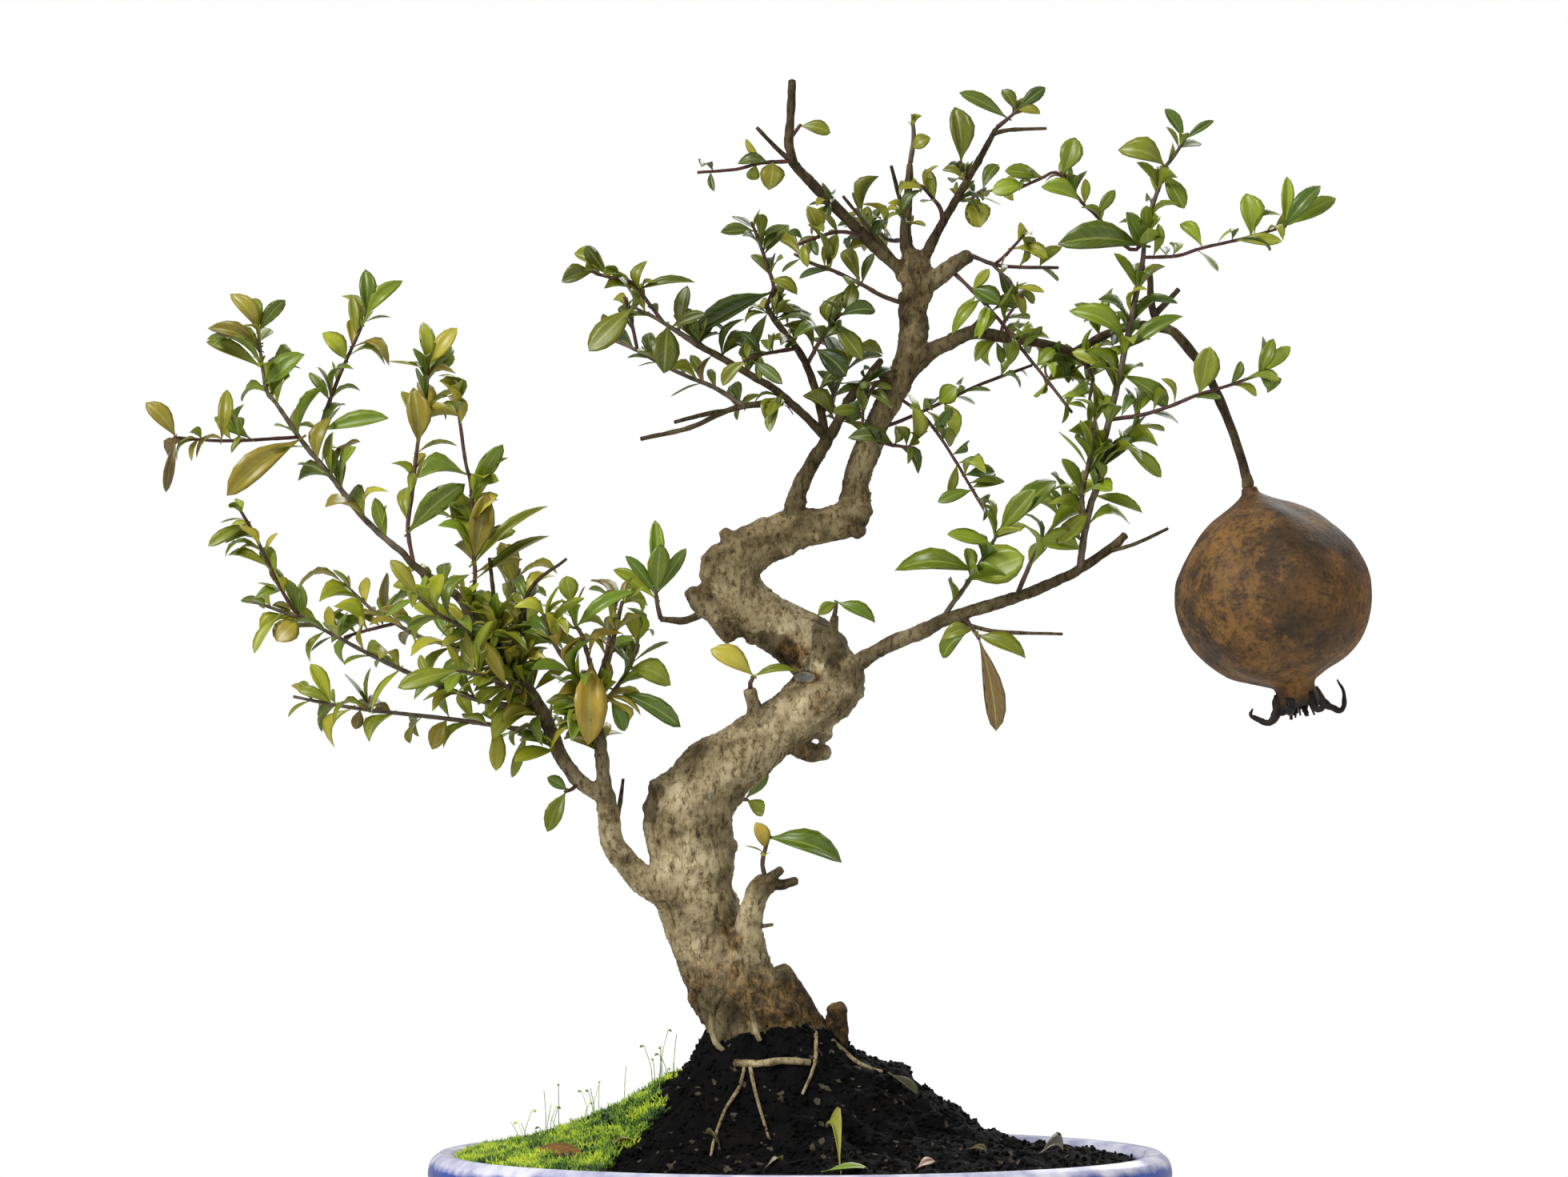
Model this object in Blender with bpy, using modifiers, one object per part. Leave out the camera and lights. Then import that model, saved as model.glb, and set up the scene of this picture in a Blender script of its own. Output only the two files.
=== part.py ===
# Pomegranate bonsai in an oval glazed pot.
# Metres, +Z up, the pot's feet stand on z = 0 and the viewer looks along +Y.
import math
import random

import bmesh
import bpy
from mathutils import Matrix, Vector, noise
from mathutils.bvhtree import BVHTree

mm = 0.001
clearance = 0.3 * mm

# Routes of the wood are points (u, v) of the picture plane through the trunk.
# One step of u or v is a quarter of a millimetre, and v runs downwards.
pictureStep = 0.25 * mm
pictureMiddle = 944
pictureFloor = 1700

# The eye that sees the routes in place, so that depth doesn't shift them.
eyeDistance = 2140 * mm
eyeSide = 9 * mm
eyeHeight = 241 * mm

# Pot
potWidth = 233 * mm
potDepth = 180 * mm
potCentre = Vector((14 * mm, 0, 0))
potSegments = 28
footHeight = 6 * mm
footRadius = 9 * mm
footPlace = (70 * mm, 44 * mm)
drainRadius = 9 * mm
drainSpacing = 90 * mm
screenRadius = 13 * mm
screenThickness = 0.8 * mm
screenHole = 5 * mm
screenPitch = 4 * mm
floorLevel = 12 * mm

# Steps inwards from the lip's outer edge, and heights, both in millimetres.
potOutside = [(22, 6), (18, 9), (9, 42), (6.4, 52), (1.4, 54), (0, 58), (1, 62.8), (4, 65)]
potInside = [(7.4, 64.6), (9.8, 61), (13, 42), (20, 16), (25, 12)]

# Soil: height over its level at the wall, against the share of the way out to the wall.
soilLevel = 62 * mm
soilCentre = Vector((4 * mm, 0, 0))
soilLumps = 0.8 * mm
moundSteps = (0.17, 0.26, 0.37, 0.48, 0.6, 0.76, 0.92)
moundLeft = [
    (0, 42), (0.15, 41), (0.2, 33), (0.26, 27), (0.38, 21), (0.52, 13), (0.68, 7), (0.84, 2.5), (1, 0),
]
moundRight = [
    (0, 42), (0.16, 41), (0.25, 32), (0.36, 28), (0.45, 20), (0.52, 13), (0.6, 8), (0.72, 4),
    (0.87, 1), (1, 0),
]
moundFront = [(0, 42), (0.18, 40), (0.28, 29), (0.38, 20), (0.5, 12), (0.64, 6.5), (0.82, 2.5), (1, 0)]

# Fruit: radii and heights about its centre, in millimetres.
fruitCentre = (1591, 739)
fruitDepth = -4
fruitTilt = math.radians(13)
fruitSteps = 18
fruitProfile = [
    (0, 33), (2.2, 33), (3, 31), (6.4, 28.7), (13.6, 24.9), (22.8, 17.4), (28.7, 7.6), (30.1, -3),
    (27.4, -13.4), (19.6, -23), (10, -28), (6.3, -30.6), (7, -36.2), (0, -36),
]
sepalCount = 6
sepalRoute = [(5.6, -35), (7.6, -38.5), (10.6, -40), (13, -38.6), (13.4, -35.8)]

# Leaves
bladeThickness = 0.9 * mm
bladeStations = [(0.5, 0.94), (0.84, 0.78)]
bladeWidthShare = 0.37
bladeLean = 52
leafRootInset = 0.8 * mm
leafGap = 0.45 * mm
stemLead = 4 * mm
leafRoot = 2.2 * mm
deepestRoot = 12 * mm
turnTries = (0, 38, -38, 76, -76, 114, -114, 152)

barkBrown = (0.34, 0.30, 0.22, 1)
leafGreen = (0.24, 0.36, 0.06, 1)

# The trunk: u, v, depth in millimetres, radius in millimetres.
trunkRoute = [
    (962, 1420, 2, 7), (958, 1345, 0, 13), (945, 1290, 0, 16.5), (925, 1250, 0, 14), (890, 1190, -1, 11.8),
    (870, 1120, -2, 12.5), (864, 1070, -2, 13), (862, 1012, -2, 13.5), (890, 972, -2, 11.5),
    (930, 943, -1, 9.4),
    (975, 910, 0, 9.2), (1015, 880, 1, 9.6), (1035, 850, 2, 10.6), (1020, 815, 2, 9.2), (975, 785, 1, 9.2),
    (935, 757, 0, 9), (917, 730, 0, 9), (911, 709, 0, 8.5), (936, 688, 1, 7.8), (968, 674, 2, 7.2),
    (1000, 662, 3, 6.5), (1035, 655, 4, 5.6), (1066, 641, 5, 5.4), (1072, 600, 6, 4.1), (1087, 555, 6, 4.2),
    (1100, 522, 6, 3.6), (1120, 483, 6, 4.6), (1135, 450, 6, 4), (1142, 416, 6, 4.7), (1140, 387, 6, 4.2),
    (1146, 368, 6, 5.2), (1144, 340, 6, 5.4), (1142, 316, 6, 3.4),
]


def limb(points, depth, radius):
    """A woody limb: picture points, with depth and radius from start to end in millimetres."""
    return {"points": points, "depth": depth, "radius": radius}


limbs = {
    "second_trunk": limb(
        [(990, 1330), (966, 1278), (946, 1236), (934, 1190), (936, 1150)],
        (-5, -12), (12.5, 3.9)),
    "second_trunk_head": limb([(936, 1152), (946, 1118), (960, 1101)], (-12, -12), (3.8, 3.4)),
    "head_stub_right": limb([(958, 1106), (978, 1106), (997, 1101)], (-12, -13), (1.9, 1.3)),
    "head_stub_up": limb([(956, 1104), (966, 1095), (977, 1087)], (-12, -16), (1.9, 1.4)),
    "head_thorn": limb([(940, 1160), (953, 1158), (966, 1156)], (-12, -14), (0.9, 0.5)),
    "buttress": limb([(962, 1222), (985, 1250), (1012, 1290), (1030, 1345)], (-6, -2), (6.5, 5)),
    "stump_root": limb([(1045, 1258), (1046, 1290), (1042, 1340)], (-4, 0), (3.3, 3.6)),
    "loop_root": limb(
        [(903, 1240), (892, 1262), (890, 1284), (895, 1303), (912, 1318), (935, 1322)],
        (-14, -10), (1, 0.9)),
    "hook_root": limb([(940, 1262), (944, 1287), (950, 1300)], (-16, -17), (1.1, 0.8)),
    "level_root": limb([(918, 1329), (948, 1330), (979, 1326), (1012, 1328)], (-17, -14.5), (1.6, 1.3)),
    "thin_root_left": limb(
        [(932, 1326), (924, 1360), (908, 1384), (893, 1424), (887, 1456)],
        (-17, -44), (0.8, 0.6)),
    "thin_root_mid": limb([(936, 1326), (944, 1364), (954, 1400), (961, 1422)], (-17, -38), (0.8, 0.6)),
    "thin_root_right": limb([(1020, 1283), (1018, 1330), (1003, 1368)], (-8, -26), (0.9, 0.6)),
    "far_root": limb([(1040, 1300), (1073, 1329), (1103, 1340)], (-3, -8), (1, 0.7)),
    "cut_under": limb([(985, 925), (1008, 940), (1036, 941)], (0, 2), (3.4, 2.4)),
    "stub_left": limb([(952, 915), (944, 890), (938, 862)], (-2, -6), (2.8, 2.2)),
    "knuckle_stub": limb([(1036, 830), (1041, 800), (1043, 770)], (0, -8), (2.2, 1.4)),
    "knuckle_spine": limb([(985, 828), (966, 815), (945, 800)], (-1, -14), (1.1, 0.5)),
    "section_stub": limb([(918, 796), (893, 768), (874, 754), (866, 737)], (0, 0), (3.6, 2.9)),
    "section_twig": limb([(880, 765), (857, 776), (826, 774)], (0, -4), (1.4, 1)),
    "left_branch": limb(
        [(842, 1122), (808, 1104), (786, 1082), (768, 1056), (760, 1014), (757, 990)],
        (-4, -12), (5, 2.9)),
    "left_fork_up": limb([(757, 1000), (752, 945), (746, 900), (743, 848)], (-12, -20), (2.4, 1.6)),
    "left_limb": limb(
        [(757, 998), (724, 976), (703, 948), (690, 918), (674, 884), (654, 856), (638, 837),
            (619, 817), (600, 790)],
        (-12, -13), (2.5, 1.9)),
    "left_limb_end": limb(
        [(604, 796), (585, 766), (574, 747), (545, 728), (513, 703), (505, 692)],
        (-13, -10), (1.8, 1.1)),
    "left_stub_a": limb([(620, 820), (618, 760), (612, 698)], (-13, -18), (0.9, 0.6)),
    "left_stub_b": limb([(656, 858), (655, 819), (656, 758)], (-13, -8), (1, 0.7)),
    "left_stub_c": limb([(747, 890), (766, 802), (778, 752)], (-17, -22), (1, 0.6)),
    "left_thorn": limb([(640, 838), (660, 742), (708, 699)], (-13, -26), (0.9, 0.5)),
    "fork_thorn": limb([(768, 1040), (775, 1004), (779, 974)], (-8, -10), (0.9, 0.5)),
    "inner_branch": limb(
        [(985, 668), (992, 632), (1004, 600), (1019, 574), (1033, 551)],
        (2, -4), (3, 2.2)),
    "inner_branch_up": limb(
        [(1028, 560), (1044, 534), (1065, 495), (1079, 480), (1102, 450)],
        (-4, 0), (2, 1.2)),
    "inner_left": limb(
        [(1036, 552), (1012, 526), (972, 490), (945, 473), (900, 447), (871, 431)],
        (-4, -8), (1.5, 1.05)),
    "inner_middle": limb(
        [(1032, 550), (1024, 505), (1006, 452), (982, 418), (966, 397), (958, 383)],
        (-3, 2), (1.5, 0.9)),
    "inner_low": limb(
        [(978, 503), (957, 505), (929, 508), (903, 516), (862, 535), (801, 549)],
        (-5, 6), (1.3, 0.7)),
    "inner_low_fork": limb([(908, 514), (887, 517), (843, 528)], (1.4, -4), (0.9, 0.6)),
    "leader": limb([(1141, 330), (1132, 300), (1134, 256), (1138, 204)], (6, 5), (2.4, 1.2)),
    "leader_stub": limb([(1134, 282), (1124, 246), (1114, 208)], (5, 8), (1, 0.6)),
    "crown_left": limb(
        [(1134, 345), (1104, 318), (1077, 292), (1033, 248), (996, 210), (985, 195)],
        (6, -2), (2.2, 1.5)),
    "crown_left_up": limb([(991, 204), (986, 176), (989, 137), (990, 101)], (-2, -2), (1.6, 1.3)),
    "crown_left_twig": limb([(988, 200), (973, 188), (946, 160)], (-2, -4), (1, 0.6)),
    "crown_dark_twig": limb([(1120, 326), (1081, 279), (1054, 246)], (5, -8), (0.7, 0.5)),
    "crown_right": limb(
        [(1148, 340), (1161, 312), (1176, 283), (1194, 252), (1223, 202), (1246, 160)],
        (6, 0), (2, 0.95)),
    "crown_spine": limb([(1241, 168), (1262, 163), (1308, 161)], (0, -2), (0.8, 0.5)),
    "crown_cut": limb([(1146, 362), (1171, 348), (1188, 334), (1212, 319)], (4, 0), (3.2, 2.4)),
    "middle_branch": limb(
        [(1124, 478), (1160, 442), (1179, 432), (1214, 416), (1237, 419), (1294, 428), (1344, 442),
            (1361, 460)],
        (6, -6), (3, 1.2)),
    "middle_spur": limb([(1208, 418), (1218, 410), (1226, 401)], (1, -2), (1.4, 1.1)),
    "middle_reach": limb([(1344, 440), (1372, 424), (1412, 408), (1446, 408)], (-5, 12), (1.3, 1.5)),
    "stalk_knot_up": limb([(1450, 410), (1440, 384), (1437, 341)], (12, 10), (1.5, 1)),
    "stalk_knot_side": limb([(1441, 395), (1457, 380), (1473, 362)], (12, 16), (1.2, 0.8)),
    "stalk": limb(
        [(1440, 409), (1458, 411), (1472, 420), (1495, 447), (1510, 468), (1531, 516), (1543, 547),
            (1552, 575),
         (1559, 602)],
        (12, -4), (1.6, 1.4)),
    "stalk_collar": limb([(1557, 592), (1561, 609)], (-4, -4), (1.6, 2.1)),
    "right_branch": limb(
        [(1050, 846), (1073, 829), (1112, 806), (1150, 791), (1177, 777), (1215, 764), (1279, 744),
            (1342, 717)],
        (0, -8), (2.9, 1.7)),
    "right_branch_end": limb([(1338, 719), (1368, 700), (1393, 682), (1407, 669)], (-8, -6), (1.6, 1.2)),
    "right_spine": limb([(1386, 690), (1419, 680), (1460, 661)], (-7, -12), (0.7, 0.5)),
    "right_low_spine": limb([(1190, 774), (1240, 789), (1328, 793)], (-4, -6), (0.9, 0.5)),
}

# Limbs that pass through the soil, which gets a plain hole for each.
buriedLimbs = (
    "second_trunk", "buttress", "stump_root", "loop_root", "hook_root", "level_root",
    "thin_root_left", "thin_root_mid", "thin_root_right", "far_root",
)


def stem(points, depth, radius, pairs, blade):
    """A leafy stem: picture points, depth and radius in millimetres, leaf pairs and leaf length."""
    return {"points": points, "depth": depth, "radius": radius, "pairs": pairs, "blade": blade}


# Each shoot: how far its first stem starts from the wood's centreline, its stems,
# and single leaves as (foot, tip, width in millimetres, depth of the tip against the foot).
shoots = {
    "shoot_left_top": (1, [
        stem([(505, 692), (478, 670), (446, 638), (415, 597), (377, 551), (345, 504), (333, 488),
            (325, 435), (323, 412)],
             (-10, -4), (1.1, 0.5), 5, 15),
        stem([(371, 549), (281, 553), (216, 548)], (-6, -20), (0.6, 0.5), 1, 12),
        stem([(396, 572), (402, 534), (423, 475), (446, 423), (459, 393)], (-6, 4), (0.7, 0.5), 2, 12),
    ], [
        ((323, 412), (290, 367), 4.6, -3), ((323, 413), (314, 372), 4, 3),
        ((323, 412), (356, 375), 4.6, -2),
        ((325, 440), (262, 408), 4.6, -4), ((329, 462), (258, 430), 4.4, 4),
        ((331, 482), (380, 443), 9, -4),
        ((281, 553), (284, 487), 5, 0), ((218, 548), (183, 503), 5.4, -2), ((217, 548), (207, 616), 3.6, 0),
        ((377, 551), (283, 618), 8.6, -6), ((405, 540), (487, 525), 7, -3), ((434, 452), (406, 415), 6, -2),
        ((459, 393), (457, 337), 5, 0), ((457, 397), (500, 350), 4.6, -2), ((446, 423), (440, 370), 4.2, 3),
    ]),
    "shoot_left_mid": (1, [
        stem(
            [(517, 706), (510, 660), (515, 620), (522, 557), (532, 502), (536, 454)],
            (-11, -18), (0.75, 0.5), 2, 13),
    ], [
        ((509, 668), (580, 605), 6.4, -8), ((522, 557), (517, 485), 6.6, -3),
        ((536, 455), (530, 402), 5, 0),
        ((536, 456), (571, 410), 6, -2), ((529, 515), (480, 464), 4.4, -3),
        ((534, 470), (568, 446), 4.6, 4),
    ]),
    "shoot_left_inner": (1.6, [
        stem([(590, 776), (594, 720), (592, 690), (589, 611), (582, 578), (574, 521), (568, 488)],
             (-13, -24), (0.75, 0.5), 2, 15),
    ], [
        ((589, 625), (628, 556), 5.6, -4), ((592, 700), (608, 616), 8.2, -5),
        ((592, 705), (682, 631), 4.8, -2),
        ((592, 702), (570, 618), 8, 5), ((593, 725), (686, 669), 4, 4), ((590, 650), (524, 604), 5, -4),
    ]),
    "shoot_left_second": (2, [
        stem([(668, 878), (640, 882), (595, 874), (513, 842), (460, 817), (385, 778), (312, 750)],
             (-13, -34), (1.1, 0.5), 4, 14),
        stem(
            [(388, 780), (367, 762), (346, 727), (329, 691), (314, 661), (295, 630)],
            (-30, -40), (0.65, 0.5), 3, 11),
    ], [
        ((380, 775), (346, 802), 9, -4), ((314, 661), (260, 683), 4, -3), ((340, 715), (284, 690), 4.4, 2),
        ((320, 752), (352, 735), 4.6, 3), ((360, 765), (310, 748), 4, 0),
    ]),
    "shoot_left_low": (2, [
        stem([(684, 925), (654, 913), (605, 905), (562, 899), (507, 893), (454, 887), (401, 878),
            (367, 871)],
             (-11, 6), (0.9, 0.5), 3, 12),
    ], [
        ((625, 908), (620, 964), 5.6, -3), ((560, 899), (540, 937), 5, -2), ((450, 887), (444, 912), 4, 0),
        ((660, 915), (640, 972), 3.4, 4), ((415, 880), (372, 862), 3.4, 0),
    ]),
    "shoot_left_third": (1.9, [
        stem([(624, 822), (590, 812), (532, 799), (507, 787), (483, 772), (467, 764), (429, 729)],
             (-13, 14), (0.9, 0.5), 4, 15),
        stem([(494, 780), (460, 788), (430, 797)], (0, 6), (0.6, 0.5), 1, 12),
    ], []),
    "shoot_left_back": (1.9, [
        stem([(644, 843), (640, 800), (638, 760), (650, 712)], (-13, 26), (0.9, 0.5), 3, 16),
    ], []),
    "shoot_left_front": (1.9, [
        stem([(604, 798), (580, 784), (548, 768), (516, 742)], (-13, -40), (0.9, 0.5), 3, 15),
    ], []),
    "shoot_left_under": (2, [
        stem([(664, 868), (640, 862), (606, 846), (570, 838)], (-13, -38), (0.9, 0.5), 3, 17),
    ], [((572, 838), (497, 860), 5.6, -3)]),
    "shoot_centre_orange": (0.6, [
        stem([(743, 848), (737, 827), (727, 794), (718, 778), (712, 752)], (-20, -24), (0.9, 0.5), 1, 15),
    ], [
        ((713, 755), (708, 720), 6, 0), ((722, 784), (790, 738), 6, -4), ((738, 832), (736, 928), 11, -9),
        ((732, 810), (668, 790), 5, -4), ((733, 812), (806, 790), 5.4, 3),
    ]),
    "shoot_centre_right": (1.9, [
        stem([(745, 892), (772, 858), (790, 828), (800, 790)], (-18, -6), (0.9, 0.5), 3, 14),
    ], [((786, 836), (838, 852), 8, -3), ((768, 862), (851, 908), 4.4, -4),
        ((764, 868), (780, 914), 6, 3)]),
    "shoot_centre_left": (1.8, [
        stem([(745, 880), (715, 838), (690, 800), (680, 768)], (-19, -34), (0.9, 0.5), 3, 15),
    ], []),
    "shoot_centre_back": (1.7, [
        stem([(744, 862), (758, 820), (764, 780), (772, 748)], (-19, 8), (0.9, 0.5), 3, 14),
    ], []),
    "shoot_fork_low": (2.6, [
        stem([(724, 976), (716, 986), (706, 990)], (-12, -18), (0.7, 0.5), 0, 12),
    ], [((710, 988), (684, 1040), 5.6, -2), ((712, 987), (684, 972), 4.4, -2)]),
    "shoot_upright": (0.4, [
        stem([(826, 774), (822, 757), (820, 741), (819, 727)], (-4, -6), (0.8, 0.5), 1, 9),
    ], [
        ((820, 742), (826, 680), 7.6, -4), ((819, 732), (818, 651), 4.6, 3),
        ((820, 744), (782, 695), 4, -2),
        ((820, 744), (858, 686), 4, 2), ((821, 750), (766, 714), 3.6, 2),
    ]),
    "shoot_second_trunk": (3, [
        stem([(958, 1102), (953, 1082), (956, 1064), (962, 1043)], (-12, -14), (0.8, 0.6), 0, 12),
    ], [((961, 1046), (1052, 1074), 10, -4), ((957, 1060), (946, 1028), 4.4, -2)]),
    "shoot_trunk_back": (10, [
        stem([(895, 975), (921, 996), (934, 1000)], (0, 16), (0.7, 0.6), 0, 12),
    ], [((934, 1000), (955, 1018), 5.6, 2)]),
    "shoot_stub_left": (0.4, [
        stem([(938, 862), (938, 854), (942, 846)], (-6, -7), (0.8, 0.6), 0, 12),
    ], [((942, 848), (889, 811), 7, -2), ((942, 847), (995, 837), 4, -2)]),
    "shoot_knuckle": (0.4, [
        stem([(1043, 770), (1045, 760), (1046, 752)], (-8, -9), (0.8, 0.5), 0, 10),
    ], [((1045, 762), (1094, 778), 6, -3), ((1046, 754), (1022, 770), 4, -4),
        ((1045, 760), (1062, 796), 4.6, -5)]),
    "shoot_right_first": (2.2, [
        stem(
            [(1177, 777), (1189, 757), (1205, 736), (1222, 710), (1240, 680), (1250, 662)],
            (-4, -16), (0.95, 0.5), 2, 15),
    ], [
        ((1218, 716), (1122, 706), 8, -4), ((1212, 726), (1282, 697), 12, -7),
        ((1250, 662), (1320, 599), 8.6, 2),
        ((1249, 664), (1296, 612), 7, -5), ((1240, 682), (1184, 668), 6, -3),
    ]),
    "shoot_droop_middle": (4, [
        stem([(1112, 492), (1130, 502), (1153, 519), (1174, 545), (1194, 576), (1214, 610), (1232, 640)],
             (6, -6), (0.6, 0.5), 3, 13),
    ], [((1214, 610), (1256, 602), 4, -2), ((1216, 613), (1172, 628), 4.4, -2)]),
    "shoot_right_second": (2, [
        stem(
            [(1270, 747), (1289, 703), (1304, 677), (1327, 644), (1345, 626)],
            (-6, 10), (0.85, 0.5), 2, 15),
    ], []),
    "shoot_right_hanging": (2.2, [
        stem([(1204, 768), (1214, 784), (1224, 799)], (-5, -14), (0.7, 0.6), 0, 14),
    ], [((1224, 799), (1246, 914), 5.6, 0), ((1220, 793), (1282, 822), 8, -4),
        ((1216, 788), (1178, 797), 5, -3)]),
    "shoot_column": (1.8, [
        stem([(1350, 712), (1355, 672), (1363, 633), (1376, 596), (1380, 556), (1388, 520),
            (1399, 472), (1407, 434),
              (1418, 380), (1424, 353)], (-8, -14), (1.2, 0.9), 8, 15),
        stem(
            [(1357, 660), (1352, 620), (1359, 587), (1365, 550), (1370, 518)],
            (-9, -22), (0.9, 0.5), 3, 14),
        stem([(1379, 585), (1399, 564), (1413, 547), (1426, 526)], (-11, -2), (0.6, 0.5), 2, 14),
        stem(
            [(1388, 525), (1428, 519), (1464, 508), (1495, 495), (1537, 482), (1581, 466)],
            (-12, -16), (0.7, 0.5), 1, 12),
    ], [
        ((1495, 495), (1512, 433), 7.4, -2), ((1568, 471), (1592, 424), 5, -2),
        ((1580, 466), (1613, 434), 4.6, 2),
        ((1407, 440), (1478, 395), 6, -4), ((1409, 430), (1340, 386), 6, -4),
        ((1402, 468), (1340, 440), 6, 4),
        ((1403, 556), (1452, 597), 6, 2), ((1363, 640), (1322, 680), 7, -4),
        ((1400, 470), (1460, 508), 5, 3),
        ((1364, 620), (1428, 640), 4.6, -4), ((1352, 705), (1300, 676), 7, -4),
        ((1353, 690), (1380, 640), 7, -5),
    ]),
    "shoot_column_top": (0, [
        stem([(1424, 353), (1428, 332), (1433, 283), (1451, 228), (1455, 212), (1468, 195), (1482, 173)],
             (-14, -8), (0.85, 0.5), 3, 12),
        stem(
            [(1430, 322), (1472, 320), (1504, 310), (1557, 298), (1608, 283)],
            (-14, -10), (0.6, 0.5), 1, 12),
        stem(
            [(1432, 300), (1413, 312), (1367, 266), (1353, 254), (1326, 216)],
            (-13, -18), (0.65, 0.5), 1, 10),
        stem([(1340, 233), (1321, 215), (1302, 223), (1275, 235)], (-17, -19), (0.55, 0.5), 1, 8),
    ], [
        ((1608, 283), (1650, 232), 6.4, -2), ((1606, 283), (1670, 248), 6, 3),
        ((1602, 284), (1608, 221), 3.6, 0),
        ((1560, 297), (1558, 242), 6.4, 0), ((1540, 301), (1603, 303), 3.6, -3),
        ((1326, 217), (1344, 172), 7, 0),
        ((1353, 254), (1302, 233), 4.6, -2), ((1280, 233), (1240, 240), 5.6, 0),
        ((1300, 224), (1256, 214), 5, -3),
        ((1455, 212), (1400, 185), 6.4, -3), ((1453, 220), (1480, 262), 6.4, -3),
        ((1482, 173), (1455, 137), 3.6, 0),
        ((1481, 175), (1518, 152), 3, 0), ((1432, 312), (1324, 303), 8, -9),
        ((1434, 316), (1408, 266), 8, -6),
        ((1436, 310), (1434, 284), 7, -8), ((1500, 311), (1475, 280), 4, 2),
        ((1372, 270), (1394, 238), 3.6, 0),
    ]),
    "shoot_crown_left": (1.4, [
        stem([(990, 202), (952, 204), (920, 212), (872, 216)], (-2, -8), (0.65, 0.5), 0, 10),
    ], [((960, 203), (924, 202), 4.6, -3), ((966, 203), (962, 235), 7, -4),
        ((945, 206), (940, 226), 4, 2)]),
    "shoot_crown_stub": (1.4, [
        stem([(987, 176), (996, 163), (1001, 156)], (-2, -4), (0.6, 0.5), 0, 10),
    ], [((1000, 158), (1038, 166), 4.6, -2)]),
    "shoot_leader_top": (0.4, [
        stem([(1138, 204), (1142, 176), (1141, 150)], (5, 5), (0.9, 0.6), 1, 6.5),
    ], [((1141, 190), (1162, 172), 5, -2)]),
    "shoot_crown_left_front": (1.9, [
        stem([(1082, 296), (1052, 290), (1024, 296), (998, 306)], (3, -14), (0.7, 0.5), 3, 11),
    ], [((1022, 297), (1010, 258), 5, -3)]),
    "shoot_crown_left_low": (5, [
        stem(
            [(1130, 380), (1102, 370), (1079, 357), (1042, 339), (1016, 330), (993, 318)],
            (5, -10), (0.8, 0.5), 3, 13),
    ], [((1066, 352), (1058, 388), 5.4, -4)]),
    "shoot_crown_back": (3, [
        stem([(1132, 300), (1110, 300), (1090, 280), (1070, 262)], (6, 34), (0.8, 0.5), 3, 12),
    ], []),
    "shoot_crown_front": (2.2, [
        stem([(1178, 282), (1176, 262), (1164, 246), (1152, 232)], (3, -12), (0.75, 0.5), 2, 11),
    ], []),
    "shoot_crown_right_back": (1.8, [
        stem([(1196, 250), (1212, 250), (1222, 242), (1232, 236)], (2, 18), (0.7, 0.5), 2, 11),
    ], [((1212, 250), (1226, 284), 7.4, -6)]),
    "shoot_crown_right_up": (1.6, [
        stem([(1212, 222), (1204, 212), (1200, 202)], (1, -4), (0.6, 0.5), 0, 10),
    ], [((1201, 205), (1194, 134), 6.6, -1)]),
    "shoot_crown_right_tip": (0.4, [
        stem([(1246, 160), (1262, 147), (1275, 135)], (0, -1), (0.75, 0.5), 0, 10),
    ], [
        ((1256, 152), (1199, 116), 5, -3), ((1270, 140), (1253, 112), 4, 0),
        ((1275, 136), (1307, 110), 4.4, 0),
        ((1272, 138), (1300, 142), 4, -4), ((1262, 147), (1290, 124), 4, 4),
    ]),
    "shoot_crown_right_mid": (0.4, [
        stem([(1212, 319), (1240, 330), (1267, 334), (1323, 335)], (0, -2), (0.75, 0.5), 1, 12),
        stem([(1240, 330), (1261, 352), (1278, 372)], (-1, -8), (0.55, 0.5), 1, 11),
        stem([(1244, 330), (1258, 318), (1280, 294)], (-1, -6), (0.55, 0.5), 1, 11),
    ], [((1262, 354), (1280, 398), 4, -2)]),
    "shoot_inner_left": (0.6, [
        stem([(871, 431), (852, 418), (833, 406), (814, 395), (789, 383)], (-8, -14), (0.95, 0.5), 1, 13),
        stem(
            [(830, 404), (810, 378), (793, 355), (776, 350), (747, 343), (739, 339)],
            (-11, -18), (0.65, 0.5), 2, 11),
    ], [
        ((745, 342), (702, 352), 5, -3), ((765, 347), (718, 316), 4.4, 3),
        ((800, 364), (868, 352), 4.4, -4),
        ((840, 410), (884, 394), 5, -4), ((836, 408), (830, 466), 8, -6), ((791, 384), (736, 440), 9, -3),
    ]),
    "shoot_inner_top": (0.5, [
        stem([(958, 383), (967, 360), (960, 335), (947, 297), (939, 278)], (2, -2), (0.75, 0.5), 3, 13),
    ], [((962, 376), (866, 418), 6.6, -8), ((944, 290), (900, 292), 4.4, -3),
        ((965, 350), (996, 366), 6, -4)]),
    "shoot_inner_middle": (1.3, [
        stem([(994, 436), (970, 440), (950, 444), (930, 452)], (1, -14), (0.7, 0.5), 3, 13),
    ], []),
    "shoot_inner_right": (1.4, [
        stem([(1008, 458), (1022, 432), (1036, 410), (1052, 392)], (0, -14), (0.75, 0.5), 3, 15),
    ], [((1040, 405), (1078, 450), 6, -4), ((1020, 438), (1058, 470), 8, -5)]),
    "shoot_inner_dark": (1.4, [
        stem(
            [(931, 508), (905, 492), (887, 482), (846, 465), (787, 434), (753, 421)],
            (-2, 14), (0.9, 0.5), 3, 11),
        stem([(797, 440), (787, 393), (780, 372)], (12, 10), (0.6, 0.5), 1, 10),
    ], []),
    "shoot_inner_back": (1.8, [
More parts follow.
